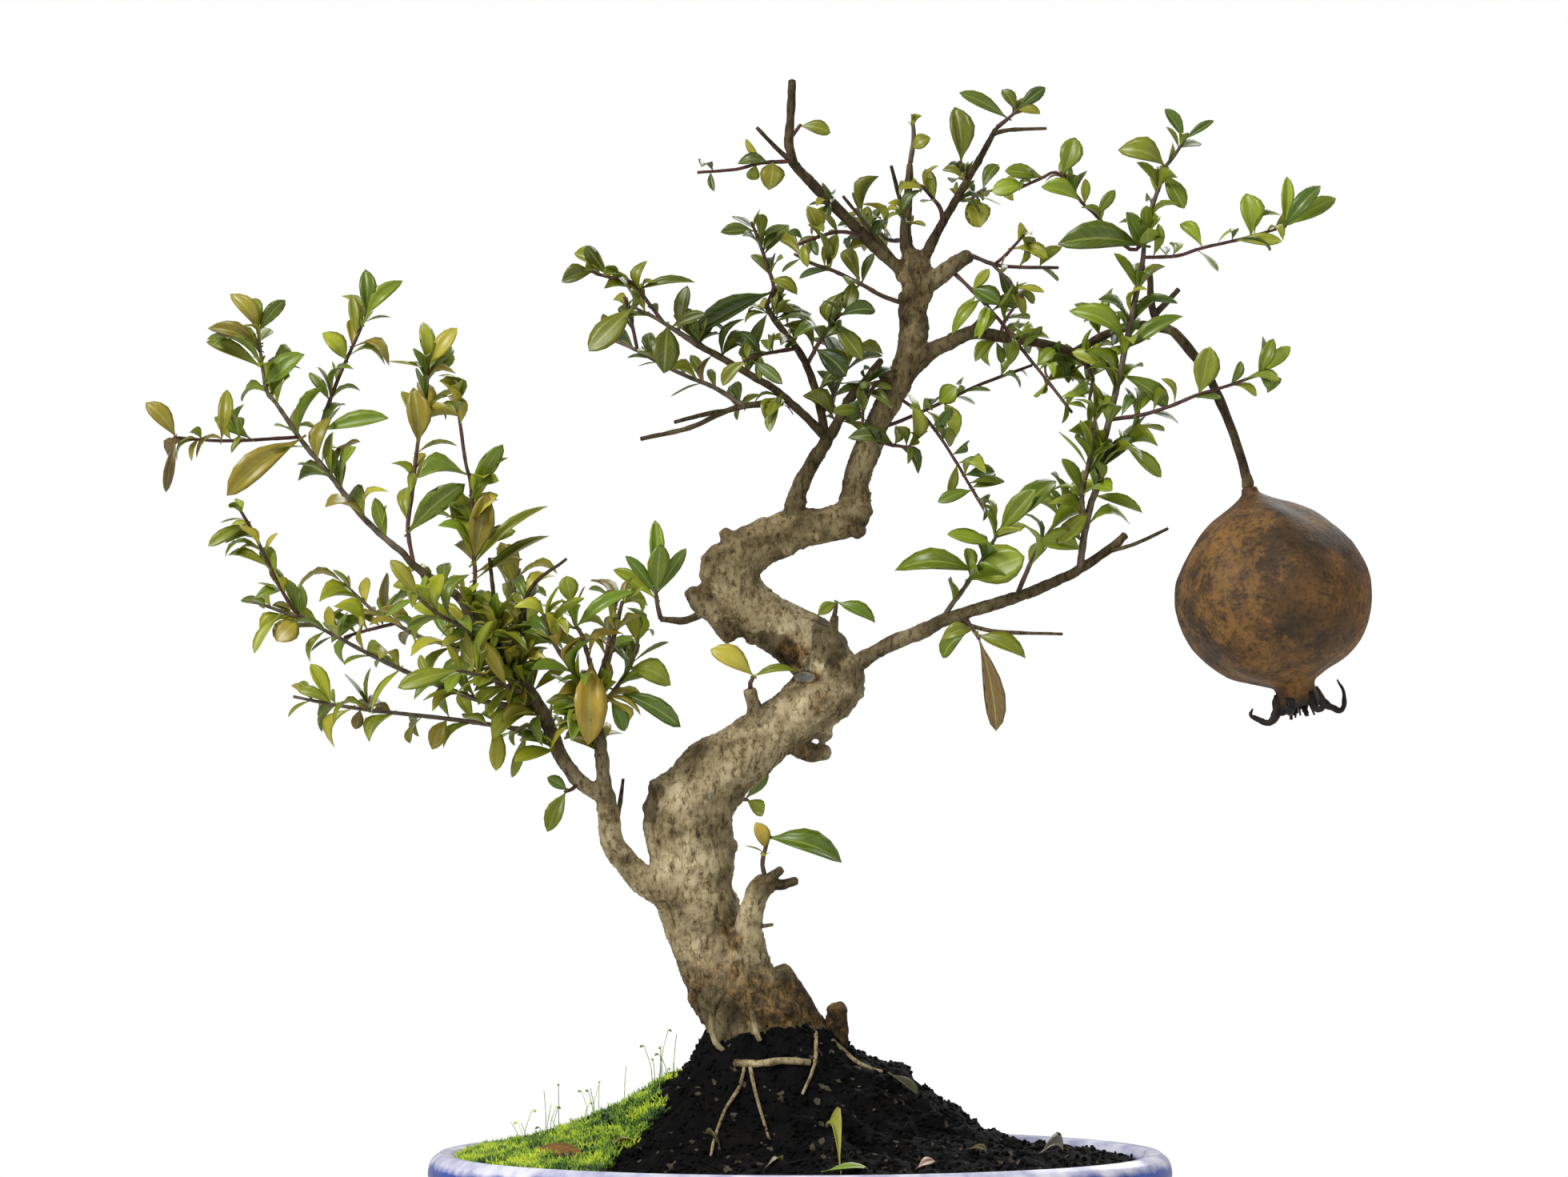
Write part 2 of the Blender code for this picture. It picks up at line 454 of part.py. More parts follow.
        stem([(1050, 524), (1040, 500), (1052, 470), (1060, 440)], (-3, 26), (0.75, 0.5), 3, 14),
    ], []),
    "shoot_right_thin": (4.2, [
        stem(
            [(1098, 536), (1127, 526), (1174, 505), (1223, 482), (1290, 457)],
            (6, 16), (0.65, 0.5), 1, 10),
    ], [((1174, 505), (1196, 484), 6, -3), ((1180, 502), (1196, 545), 5, -3)]),
    "shoot_upper_front": (4.3, [
        stem([(1092, 548), (1112, 556), (1140, 560)], (4, -14), (0.7, 0.5), 2, 12),
    ], [((1118, 556), (1062, 545), 4.6, -4)]),
    "shoot_upper_left": (4.4, [
        stem([(1122, 470), (1096, 480), (1080, 508), (1078, 530)], (5, -14), (0.7, 0.5), 2, 13),
    ], []),
    "shoot_droop_right": (2.8, [
        stem(
            [(1188, 338), (1212, 360), (1248, 399), (1275, 434), (1309, 476), (1340, 516)],
            (2, -14), (0.65, 0.5), 4, 12),
    ], [((1212, 360), (1250, 382), 7, -4), ((1296, 458), (1318, 436), 5, 0)]),
    "shoot_middle_up": (1.9, [
        stem([(1250, 421), (1256, 402), (1268, 384)], (-1, 12), (0.7, 0.5), 2, 12),
    ], []),
    "shoot_middle_end": (0.4, [
        stem([(1361, 460), (1366, 476), (1362, 500)], (-6, 4), (0.8, 0.5), 3, 14),
    ], []),
}


def seen(u, v, depth):
    """The point at a depth that covers the place (u, v) of the picture plane."""
    away = 1 + depth * mm / eyeDistance
    x = (u - pictureMiddle) * pictureStep
    z = (pictureFloor - v) * pictureStep
    return Vector((eyeSide + (x - eyeSide) * away, depth * mm, eyeHeight + (z - eyeHeight) * away))


def between(pair, share):
    return pair[0] + (pair[1] - pair[0]) * share


def spread(points, depth, radius):
    """Points in space and their radii, with depth and radius changing evenly along the route."""
    steps = len(points) - 1
    places = [seen(u, v, between(depth, i / steps)) for i, (u, v) in enumerate(points)]
    radii = [between(radius, i / steps) * mm for i in range(steps + 1)]
    return places, radii


def newMaterial(name, colour, roughness, metallic=0.0):
    material = bpy.data.materials.new(name)
    material.use_nodes = True
    material.diffuse_color = colour
    shader = material.node_tree.nodes["Principled BSDF"]
    shader.inputs["Base Color"].default_value = colour
    shader.inputs["Roughness"].default_value = roughness
    shader.inputs["Metallic"].default_value = metallic
    return material


def newCollection(name):
    collection = bpy.data.collections.new(name)
    bpy.context.scene.collection.children.link(collection)
    return collection


def addMesh(name, mesh, collection):
    piece = bpy.data.objects.new(name, mesh)
    collection.objects.link(piece)
    return piece


def meshFrom(bm, name):
    bmesh.ops.recalc_face_normals(bm, faces=bm.faces)
    mesh = bpy.data.meshes.new(name)
    bm.to_mesh(mesh)
    bm.free()
    return mesh


def bake(piece):
    """Applies the piece's modifiers and welds its points."""
    depsgraph = bpy.context.evaluated_depsgraph_get()
    mesh = bpy.data.meshes.new_from_object(piece.evaluated_get(depsgraph))
    piece.modifiers.clear()
    bm = bmesh.new()
    bm.from_mesh(mesh)
    bmesh.ops.remove_doubles(bm, verts=bm.verts, dist=0.001 * mm)
    bm.to_mesh(mesh)
    bm.free()
    piece.data = mesh


def tube(name, places, radii, resolution, collection):
    """A closed tube along a route, with a radius of its own at each point."""
    curve = bpy.data.curves.new(name, "CURVE")
    curve.dimensions = "3D"
    curve.bevel_depth = 1
    curve.bevel_resolution = resolution
    curve.use_fill_caps = True
    spline = curve.splines.new("POLY")
    spline.points.add(len(places) - 1)
    for point, place, radius in zip(spline.points, places, radii):
        point.co = (*place, 1)
        point.radius = radius
    wire = bpy.data.objects.new(name + "_line", curve)
    collection.objects.link(wire)
    depsgraph = bpy.context.evaluated_depsgraph_get()
    mesh = bpy.data.meshes.new_from_object(wire.evaluated_get(depsgraph))
    bm = bmesh.new()
    bm.from_mesh(mesh)
    bmesh.ops.remove_doubles(bm, verts=bm.verts, dist=0.001 * mm)
    bmesh.ops.recalc_face_normals(bm, faces=bm.faces)
    bm.to_mesh(mesh)
    bm.free()
    piece = addMesh(name, mesh, collection)
    piece.matrix_world = wire.matrix_world
    bpy.data.objects.remove(wire)
    return piece


def combine(piece, others, operation="UNION", solver="MANIFOLD"):
    """One Boolean with every object of a collection, which is then emptied and removed."""
    boolean = piece.modifiers.new(operation.lower(), "BOOLEAN")
    boolean.operation = operation
    boolean.operand_type = "COLLECTION"
    boolean.collection = others
    boolean.solver = solver
    bake(piece)
    for other in list(others.objects):
        bpy.data.objects.remove(other)
    bpy.data.collections.remove(others)


def shadeRound(piece, degrees):
    piece.data.shade_smooth()
    piece.data.set_sharp_from_angle(angle=math.radians(degrees))


def ovalPoint(inset, z, turn):
    """A point at a constant distance inside the lip's outer oval."""
    a = potWidth / 2
    b = potDepth / 2
    onOval = Vector((a * math.cos(turn), b * math.sin(turn), 0))
    outward = Vector((math.cos(turn) / a, math.sin(turn) / b, 0)).normalized()
    return potCentre + onOval - outward * inset + Vector((0, 0, z))


def loft(bm, rings):
    """Skins a list of closed rings and caps both ends."""
    loops = [[bm.verts.new(point) for point in ring] for ring in rings]
    count = len(loops[0])
    for lower, upper in zip(loops, loops[1:]):
        for i in range(count):
            j = (i + 1) % count
            bm.faces.new((lower[i], lower[j], upper[j], upper[i]))
    bm.faces.new(list(reversed(loops[0])))
    bm.faces.new(loops[-1])


def cylinder(name, radius, bottom, top, x, y, segments, collection):
    bm = bmesh.new()
    middle = Matrix.Translation((x, y, (bottom + top) / 2))
    bmesh.ops.create_cone(
        bm, cap_ends=True, segments=segments, radius1=radius, radius2=radius, depth=top - bottom,
            matrix=middle)
    return addMesh(name, meshFrom(bm, name), collection)


def drainPlaces():
    return [(potCentre.x - drainSpacing / 2, 0), (potCentre.x + drainSpacing / 2, 0)]


def makePot(collection, material):
    turns = [2 * math.pi * i / potSegments for i in range(potSegments)]
    bm = bmesh.new()
    loft(bm, [[ovalPoint(inset * mm, z * mm, turn) for turn in turns] for inset,
        z in potOutside + potInside])
    pot = addMesh("pot", meshFrom(bm, "pot"), collection)
    feet = newCollection("pot_feet")
    for sideX in (-1, 1):
        for sideY in (-1, 1):
            x = potCentre.x + sideX * footPlace[0]
            cylinder("foot", footRadius, 0, footHeight + 1.5 * mm, x, sideY * footPlace[1], 12, feet)
    combine(pot, feet)
    drains = newCollection("pot_drains")
    for x, y in drainPlaces():
        cylinder("drain", drainRadius, footHeight - 3 * mm, floorLevel + 3 * mm, x, y, 16, drains)
    combine(pot, drains, "DIFFERENCE")
    pot.data.materials.append(material)
    shadeRound(pot, 40)
    return pot


def makeScreen(name, place, collection, material):
    """A disc of plastic mesh that lies over a drain hole."""
    bottom = floorLevel + clearance
    screen = cylinder(name, screenRadius, bottom, bottom + screenThickness, place[0], place[1], 16,
        collection)
    holes = newCollection(name + "_holes")
    for i in (-1, 1):
        for j in (-1, 1):
            bm = bmesh.new()
            middle = Vector((place[0] + i * screenPitch, place[1] + j * screenPitch, bottom))
            size = Matrix.Diagonal((screenHole, screenHole, 5 * mm, 1))
            bmesh.ops.create_cube(bm, size=1, matrix=Matrix.Translation(middle) @ size)
            addMesh("hole", meshFrom(bm, "hole"), holes)
    combine(screen, holes, "DIFFERENCE")
    screen.data.materials.append(material)
    return screen


def readProfile(profile, share):
    for (a, low), (b, high) in zip(profile, profile[1:]):
        if share <= b:
            return low + (high - low) * (share - a) / (b - a)
    return profile[-1][1]


def soilHeight(share, turn):
    """Height of the mound, blended between its left, right and front profiles."""
    towardsLeft = max(0, -math.cos(turn)) ** 2
    towardsRight = max(0, math.cos(turn)) ** 2
    towardsFront = 1 - towardsLeft - towardsRight
    rise = (towardsLeft * readProfile(moundLeft, share) + towardsRight * readProfile(moundRight, share)
            + towardsFront * readProfile(moundFront, share))
    return soilLevel + rise * mm


def makeSoil(collection, material):
    turns = [2 * math.pi * i / potSegments for i in range(potSegments)]
    rings = []
    for inset, z in reversed(potInside[1:]):
        gap = clearance * 1.2
        rings.append([ovalPoint(inset * mm + gap, z * mm + gap * 0.9, turn) for turn in turns])
    wall = [ovalPoint(potInside[1][0] * mm + clearance * 1.2, 0, turn) for turn in turns]
    for share in reversed(moundSteps):
        ring = []
        for turn, edge in zip(turns, wall):
            point = soilCentre + (edge - soilCentre) * share
            lump = noise.noise(point / (9 * mm)) + 0.5 * noise.noise(point / (4 * mm))
            ring.append(Vector((point.x, point.y, soilHeight(share, turn) + lump * soilLumps)))
        rings.append(ring)
    bm = bmesh.new()
    loft(bm, rings)
    soil = addMesh("soil", meshFrom(bm, "soil"), collection)
    pockets = newCollection("soil_pockets")
    for x, y in drainPlaces():
        top = floorLevel + screenThickness + 2 * clearance
        cylinder("pocket", screenRadius + clearance, floorLevel - 2 * mm, top, x, y, 16, pockets)
    combine(soil, pockets, "DIFFERENCE")
    bores = newCollection("soil_bores")
    swell = clearance * 1.3
    foot = trunkRoute[:4]
    places = [seen(u, v, depth) for u, v, depth, _ in foot]
    places[0] = places[0] - Vector((0, 0, swell))
    tube("trunk_bore", places, [radius * mm + swell for *_, radius in foot], 2, bores)
    for name in buriedLimbs:
        route = limbs[name]
        places, radii = spread(route["points"], route["depth"], route["radius"])
        places[0] = places[0] + (places[0] - places[1]).normalized() * swell
        places[-1] = places[-1] + (places[-1] - places[-2]).normalized() * swell
        tube(name + "_bore", places, [radius + swell for radius in radii], limbSides(radii), bores)
    combine(soil, bores, "DIFFERENCE")
    soil.data.materials.append(material)
    return soil


def limbSides(radii):
    """Bevel resolution: four sides on a twig, six on a limb and eight on a trunk."""
    thickest = max(radii) / mm
    if thickest < 1.15:
        return 0
    return 1 if thickest < 3.2 else 2


def makeWood(collection, material):
    places = [seen(u, v, depth) for u, v, depth, _ in trunkRoute]
    wood = tube("wood", places, [radius * mm for *_, radius in trunkRoute], 2, collection)
    tubes = newCollection("wood_limbs")
    for name, route in limbs.items():
        places, radii = spread(route["points"], route["depth"], route["radius"])
        tube(name, places, radii, limbSides(radii), tubes)
    combine(wood, tubes)
    wood.data.materials.append(material)
    shadeRound(wood, 50)
    return wood


def makeFruit(collection, material):
    bm = bmesh.new()
    points = [bm.verts.new((radius * mm, 0, height * mm)) for radius, height in fruitProfile]
    for first, second in zip(points, points[1:]):
        bm.edges.new((first, second))
    mesh = bpy.data.meshes.new("fruit")
    bm.to_mesh(mesh)
    bm.free()
    fruit = addMesh("fruit", mesh, collection)
    screw = fruit.modifiers.new("turn", "SCREW")
    screw.steps = fruitSteps
    screw.render_steps = fruitSteps
    screw.use_merge_vertices = True
    screw.merge_threshold = 0.00001
    sepals = newCollection("fruit_sepals")
    for i in range(sepalCount):
        spin = Matrix.Rotation(2 * math.pi * i / sepalCount, 3, "Z")
        places = [spin @ Vector((radius * mm, 0, height * mm)) for radius, height in sepalRoute]
        tube("sepal", places, [between((1.5, 0.6), k / 4) * mm for k in range(5)], 0, sepals)
    bake(fruit)
    combine(fruit, sepals)
    fruit.location = seen(*fruitCentre, fruitDepth)
    fruit.rotation_euler = (0, -fruitTilt, 0)
    fruit.data.materials.append(material)
    shadeRound(fruit, 40)
    return fruit


def square(direction, towards):
    """The part of a direction that is square to another, at unit length."""
    return (towards - direction * towards.dot(direction)).normalized()


def lengthOf(places):
    return sum((b - a).length for a, b in zip(places, places[1:]))


def pointAt(places, distance):
    """A point at a distance along a route, and the heading there."""
    for a, b in zip(places, places[1:]):
        length = (b - a).length
        if distance <= length:
            return a + (b - a) * (distance / length), (b - a).normalized()
        distance -= length
    return places[-1].copy(), (places[-1] - places[-2]).normalized()


def slotLeaves(places, distance, turn, lean, length):
    """The places a leaf may take in its slot, the first choice first."""
    root, _ = pointAt(places, distance - leafRoot)
    foot, heading = pointAt(places, distance)
    side = square(heading, Vector((0.3, -1, 0.2)))
    choices = []
    for extra in turnTries:
        out = Matrix.Rotation(math.radians(turn + extra), 3, heading) @ side
        direction = (heading * math.cos(lean) + out * math.sin(lean)).normalized()
        face = square(direction, heading * 0.5 + Vector((0.1, -0.45, 0.75)))
        choices.append((root, foot, foot + direction * length, face, length * bladeWidthShare))
    return choices


def leafSlots(shoot, number):
    """Every leaf of a shoot as a list of choices: the single leaves, then the pairs."""
    _, stems, singles = shoot
    draw = random.Random(1000 + number)
    routes = stemRoutes(shoot)
    slots = []
    for start, tip, width, reach in singles:
        places, distance = nearest(routes, seen(*start, 0))
        root, _ = pointAt(places, distance - leafRoot)
        foot, _ = pointAt(places, distance)
        end = seen(*tip, foot.y / mm + reach)
        face = square((end - foot).normalized(), Vector((0.15, -1, 0.45)))
        slots.append([(root, foot, end, face, width * mm)])
    for one, (places, _, lead) in zip(stems, routes):
        usable = lengthOf(places) - leafRootInset - lead
        firstTurn = draw.uniform(0, 180)
        for i in range(one["pairs"]):
            share = min((i + 0.7) / (one["pairs"] - 0.1), 1)
            for half in (0, 180):
                turn = firstTurn + 90 * i + half + draw.uniform(-18, 18)
                lean = math.radians(bladeLean + draw.uniform(-14, 14))
                length = one["blade"] * mm * draw.uniform(0.78, 1.18) * (1 - 0.25 * share)
                slots.append(slotLeaves(places, lead + share * usable, turn, lean, length))
    return slots


def nearest(routes, goal):
    """The route nearest to a goal in the picture, and how far along it, clear of both ends."""
    best = None
    for places, _, lead in routes:
        total = lengthOf(places)
        passed = 0.0
        for a, b in zip(places, places[1:]):
            run = Vector((b.x - a.x, b.z - a.z))
            share = Vector((goal.x - a.x, goal.z - a.z)).dot(run) / max(run.length_squared, 1e-12)
            distance = passed + (b - a).length * max(0, min(1, share))
            distance = max(lead, min(total - leafRootInset, distance))
            point, _ = pointAt(places, distance)
            gap = math.hypot(point.x - goal.x, point.z - goal.z)
            if best is None or gap < best[0]:
                best = (gap, places, distance)
            passed += (b - a).length
    return best[1:]


def bladeMesh(name, leaf, swell=0.0, free=False):
    """A leaf as a thin arched solid with a ridge on top and a flat back, rooted inside its stem."""
    root, foot, tip, face, width = leaf
    run = tip - foot
    side = run.normalized().cross(face)
    bm = bmesh.new()
    rings = []
    for share, wide in bladeStations:
        middle = foot + run * share + face * run.length * 0.07 * math.sin(math.pi * share)
        half = side * (width / 2 * wide + swell)
        low = middle - face * (swell + bladeThickness * 0.3)
        ridge = middle + face * (bladeThickness * 0.7 + swell)
        rings.append([bm.verts.new(low - half), bm.verts.new(ridge), bm.verts.new(low + half)])
    first = bm.verts.new(foot + run * 0.12 if free else root)
    last = bm.verts.new(tip + run.normalized() * swell)
    for i in range(3):
        j = (i + 1) % 3
        bm.faces.new((first, rings[0][i], rings[0][j]))
        bm.faces.new((last, rings[-1][j], rings[-1][i]))
        for one, two in zip(rings, rings[1:]):
            bm.faces.new((one[i], two[i], two[j]))
            bm.faces.new((one[i], two[j], one[j]))
    return meshFrom(bm, name)


def treeOf(mesh):
    """A search tree of a mesh, with the box round it."""
    points = [vertex.co.copy() for vertex in mesh.vertices]
    tree = BVHTree.FromPolygons(points, [tuple(face.vertices) for face in mesh.polygons])
    low = Vector([min(point[k] for point in points) for k in range(3)])
    high = Vector([max(point[k] for point in points) for k in range(3)])
    return tree, low, high


def meets(one, other):
    if any(one[1][k] > other[2][k] or one[2][k] < other[1][k] for k in range(3)):
        return False
    return bool(one[0].overlap(other[0]))


def worldTree(piece):
    mesh = piece.data.copy()
    mesh.transform(piece.matrix_world)
    tree = treeOf(mesh)
    bpy.data.meshes.remove(mesh)
    return tree


def stemRoutes(shoot):
    """The routes of a shoot's stems, their radii, and how far along the first leaf may sit."""
    clear, stems, _ = shoot
    routes = []
    for one in stems:
        places, radii = spread(one["points"], one["depth"], one["radius"])
        lead = leafRoot if routes else clear * mm + stemLead
        if routes:
            root, _ = pointAt(*nearest(routes, places[0]))
            shift = root - places[0]
            places = [place + shift * (1 - i / len(places)) for i, place in enumerate(places)]
        routes.append((places, radii, lead))
    return routes


def leaveWood(route, woodTree):
    """The first stem cut back to start a small gap away from the wood."""
    places, radii, _ = route
    heading = (places[1] - places[0]).normalized()
    _, _, _, exitLength = woodTree.ray_cast(places[0] - heading * 0.5 * mm, heading, deepestRoot)
    reach = max(exitLength or 0, 0.5 * mm) - 0.5 * mm + clearance
    along = heading.to_track_quat("Z", "Y").to_matrix().to_4x4()
    while True:
        bm = bmesh.new()
        middle = Matrix.Translation(places[0] + heading * (reach + 1 * mm))
        size = radii[0] + 0.6 * clearance
        bmesh.ops.create_cone(
            bm, cap_ends=True, segments=8, radius1=size, radius2=size, depth=2.4 * mm,
                matrix=middle @ along)
        touches = woodTree.overlap(BVHTree.FromBMesh(bm))
        bm.free()
        if not touches:
            break
        reach += 0.2 * mm
    kept = [place for place in places[1:] if (place - places[0]).length > reach + 1.3 * mm]
    return [places[0] + heading * reach] + kept, radii[:1] + radii[-len(kept):]


def makeStems(name, shoot, woodTree, collection):
    """The bare stems of a shoot, fused."""
    routes = stemRoutes(shoot)
    body = tube(name, *leaveWood(routes[0], woodTree), 0, collection)
    if len(routes) > 1:
        others = newCollection(name + "_stems")
        for places, radii, _ in routes[1:]:
            tube("stem", places, radii, 0, others)
        combine(body, others)
    return body


def makeShoots(collection, material, wood, solids):
    """Every leafy shoot: first all the stems, then leaves where they touch nothing else."""
    woodTree = worldTree(wood)[0]
    bodies = {name: makeStems(name, shoot, woodTree, collection) for name, shoot in shoots.items()}
    bpy.context.view_layer.update()
    settled = [(None, worldTree(solid)) for solid in [wood] + solids]
    settled += [(name, worldTree(body)) for name, body in bodies.items()]
    placed = 0
    dropped = 0
    for number, (name, shoot) in enumerate(shoots.items()):
        blades = newCollection(name + "_blades")
        for slot in leafSlots(shoot, number):
            for leaf in slot:
                probe = treeOf(bladeMesh("probe", leaf, leafGap, True))
                if not any(meets(probe, tree) for owner, tree in settled if owner != name):
                    break
            else:
                dropped += 1
                continue
            blade = addMesh("blade", bladeMesh("blade", leaf), blades)
            settled.append((name + "_leaf", treeOf(blade.data)))
            placed += 1
        combine(bodies[name], blades)
        bodies[name].data.materials.append(material)
    print("leaves placed:", placed, "left out:", dropped)


def main():
    for old in list(bpy.data.objects):
        bpy.data.objects.remove(old)
    parts = newCollection("pomegranate_bonsai")
    glaze = newMaterial("cobalt_glaze", (0.035, 0.075, 0.39, 1), 0.18)
    plastic = newMaterial("black_plastic", (0.03, 0.03, 0.03, 1), 0.6)
    earth = newMaterial("dark_soil", (0.02, 0.016, 0.012, 1), 0.95)
    bark = newMaterial("bark", barkBrown, 0.85)
    rind = newMaterial("dry_rind", (0.17, 0.095, 0.035, 1), 0.6)
    leaf = newMaterial("leaves", leafGreen, 0.45)
    makePot(parts, glaze)
    for name, place in zip(("drain_screen_left", "drain_screen_right"), drainPlaces()):
        makeScreen(name, place, parts, plastic)
    soil = makeSoil(parts, earth)
    wood = makeWood(parts, bark)
    fruit = makeFruit(parts, rind)
    bpy.context.view_layer.update()
    makeShoots(parts, leaf, wood, [soil, fruit])


main()
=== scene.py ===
# Pomegranate bonsai in a glazed pot: the looks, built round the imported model.
# Metres, +Z up, the viewer looks along +Y. Each piece's dictionary holds millimetres.
import math
import random

import bmesh
import bpy
from mathutils import Matrix, Vector, noise
from mathutils.bvhtree import BVHTree
from mathutils.kdtree import KDTree


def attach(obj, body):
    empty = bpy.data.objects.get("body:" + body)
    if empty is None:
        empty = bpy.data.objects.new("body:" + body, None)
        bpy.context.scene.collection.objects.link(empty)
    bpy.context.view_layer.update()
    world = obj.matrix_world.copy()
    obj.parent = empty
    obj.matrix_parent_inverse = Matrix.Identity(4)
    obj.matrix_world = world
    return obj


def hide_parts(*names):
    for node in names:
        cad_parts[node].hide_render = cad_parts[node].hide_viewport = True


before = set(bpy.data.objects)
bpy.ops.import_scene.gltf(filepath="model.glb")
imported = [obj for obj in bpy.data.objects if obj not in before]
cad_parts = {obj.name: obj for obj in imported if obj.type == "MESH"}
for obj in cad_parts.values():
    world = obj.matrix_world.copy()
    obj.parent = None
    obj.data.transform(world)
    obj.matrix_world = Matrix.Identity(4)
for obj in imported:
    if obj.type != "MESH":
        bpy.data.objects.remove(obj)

bpy.context.view_layer.update()
mm = 0.001

# The routes below are places (u, v) on the picture plane through the trunk, v downwards.
picture = {"step": 0.25 * mm, "middle": 944, "floor": 1700, "away": 2140, "across": 490}
eye = Vector((9 * mm, -picture["away"] * mm, 241 * mm))


def seen(u, v, depth):  # the place at a depth in mm that covers (u, v)
    away = 1 - depth * mm / eye.y
    x = (u - picture["middle"]) * picture["step"]
    z = (picture["floor"] - v) * picture["step"]
    return Vector((eye.x + (x - eye.x) * away, depth * mm, eye.z + (z - eye.z) * away))


def between(pair, share):
    return pair[0] + (pair[1] - pair[0]) * share


def fade(low, high, value):  # 0 up to low, 1 from high on
    share = max(0.0, min(1.0, (value - low) / (high - low)))
    return share * share * (3 - 2 * share)


def toLinear(code):  # "#rrggbb" in sRGB to linear RGBA
    parts = [int(code[i:i + 2], 16) / 255 for i in (1, 3, 5)]
    return [c / 12.92 if c <= 0.04045 else ((c + 0.055) / 1.055) ** 2.4 for c in parts] + [1.0]


def addNode(tree, kind, settings=None, links=None):  # settings go to the node or its sockets
    node = tree.nodes.new(kind)
    for key, value in (settings or {}).items():
        if key == "stops":
            ramp = node.color_ramp
            while len(ramp.elements) < len(value):
                ramp.elements.new(0.5)
            for element, (place, colour) in zip(ramp.elements, value):
                element.position = place
                element.color = toLinear(colour) if isinstance(colour, str) else (colour, colour, colour, 1)
        elif isinstance(key, str) and hasattr(node, key):
            setattr(node, key, value)
        elif isinstance(value, str):
            node.inputs[key].default_value = toLinear(value) if value[0] == "#" else value
        else:
            node.inputs[key].default_value = value
    for key, source in (links or {}).items():
        tree.links.new(source, node.inputs[key])
    return node


def newMaterial(name):  # a Principled surface and its Object coordinates
    material = bpy.data.materials.new(name)
    material.use_nodes = True
    tree = material.node_tree
    tree.nodes.clear()
    surface = addNode(tree, "ShaderNodeBsdfPrincipled")
    addNode(tree, "ShaderNodeOutputMaterial", links={"Surface": surface.outputs[0]})
    place = addNode(tree, "ShaderNodeTexCoord").outputs["Object"]
    return material, tree, surface, place


def bumped(tree, surface, height, strength, distance):  # relief of a height in metres
    bump = addNode(tree, "ShaderNodeBump", {"Strength": strength, "Distance": distance}, {"Height": height})
    tree.links.new(bump.outputs[0], surface.inputs["Normal"])


def newObject(name, data):
    thing = bpy.data.objects.new(name, data)
    bpy.context.scene.collection.objects.link(thing)
    return thing


def baked(thing):  # the mesh that an object's modifiers make, and the object is removed
    mesh = bpy.data.meshes.new_from_object(thing.evaluated_get(bpy.context.evaluated_depsgraph_get()))
    bpy.data.objects.remove(thing)
    return mesh


def surfaceOf(mesh):  # a mesh to cast rays at
    return BVHTree.FromPolygons([v.co for v in mesh.vertices], [tuple(f.vertices) for f in mesh.polygons])


def finderOf(places):  # finds the nearest of the places by its number
    finder = KDTree(len(places))
    for number, place in enumerate(places):
        finder.insert(place, number)
    finder.balance()
    return finder


def addPiece(name, mesh, nodes=(), material=None):
    piece = newObject(name, mesh)
    if material:
        mesh.materials.append(material)
    mesh.shade_smooth()
    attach(piece, "root")
    if nodes:
        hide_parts(*nodes)
    print("piece", name, len(mesh.polygons), "faces")
    return piece


def newTree(name, sizes):  # a Geometry Nodes tree with a named input for each size
    tree = bpy.data.node_groups.new(name, "GeometryNodeTree")
    tree.interface.new_socket("Geometry", in_out="INPUT", socket_type="NodeSocketGeometry")
    for label, value in sizes.items():
        kind = "NodeSocketInt" if isinstance(value, int) else "NodeSocketFloat"
        tree.interface.new_socket(label, in_out="INPUT", socket_type=kind).default_value = value
    tree.interface.new_socket("Geometry", in_out="OUTPUT", socket_type="NodeSocketGeometry")
    start = addNode(tree, "NodeGroupInput").outputs
    return tree, start


def endTree(tree, geometry, material):  # the export drops instances, so they are made real
    real = addNode(tree, "GeometryNodeRealizeInstances", links={"Geometry": geometry})
    dressed = addNode(tree, "GeometryNodeSetMaterial", {"Material": material},
                      {"Geometry": real.outputs[0]})
    addNode(tree, "NodeGroupOutput", links={"Geometry": dressed.outputs[0]})


def growOn(mesh, tree, sizes):  # what the tree makes of a mesh, as a plain mesh
    carrier = newObject("carrier", mesh)
    modifier = carrier.modifiers.new("grow", "NODES")
    modifier.node_group = tree
    for item in tree.interface.items_tree:
        if item.in_out == "INPUT" and item.name in sizes:
            modifier[item.identifier] = sizes[item.name]
    return baked(carrier)


def curved(a, b, c, d, share):  # a smooth curve through four values, between the middle two
    bend = (a * 2 - b * 5 + c * 4 - d) * share * share
    return (b * 2 + (c - a) * share + bend + (b * 3 - a - c * 3 + d) * share ** 3) / 2


def smoothRoute(places, radii, step):  # a rounded route through the places, with a place every step
    ends = [places[0] * 2 - places[1]] + places + [places[-1] * 2 - places[-2]]
    route = []
    for i in range(1, len(ends) - 2):
        count = max(1, round((ends[i + 1] - ends[i]).length / step))
        for share in [k / count for k in range(count)]:
            radius = between((radii[i - 1], radii[i]), fade(0, 1, share))
            route.append((curved(*ends[i - 1:i + 3], share), radius))
    return route + [(places[-1], radii[-1])]


def bridge(bm, lower, upper):  # faces between two rings, either may be a single vertex
    count = max(len(lower), len(upper))
    for k in range(count):
        j = (k + 1) % count
        corners = [lower[k % len(lower)], lower[j % len(lower)], upper[j % len(upper)],
                   upper[k % len(upper)]]
        bm.faces.new(list(dict.fromkeys(corners)))


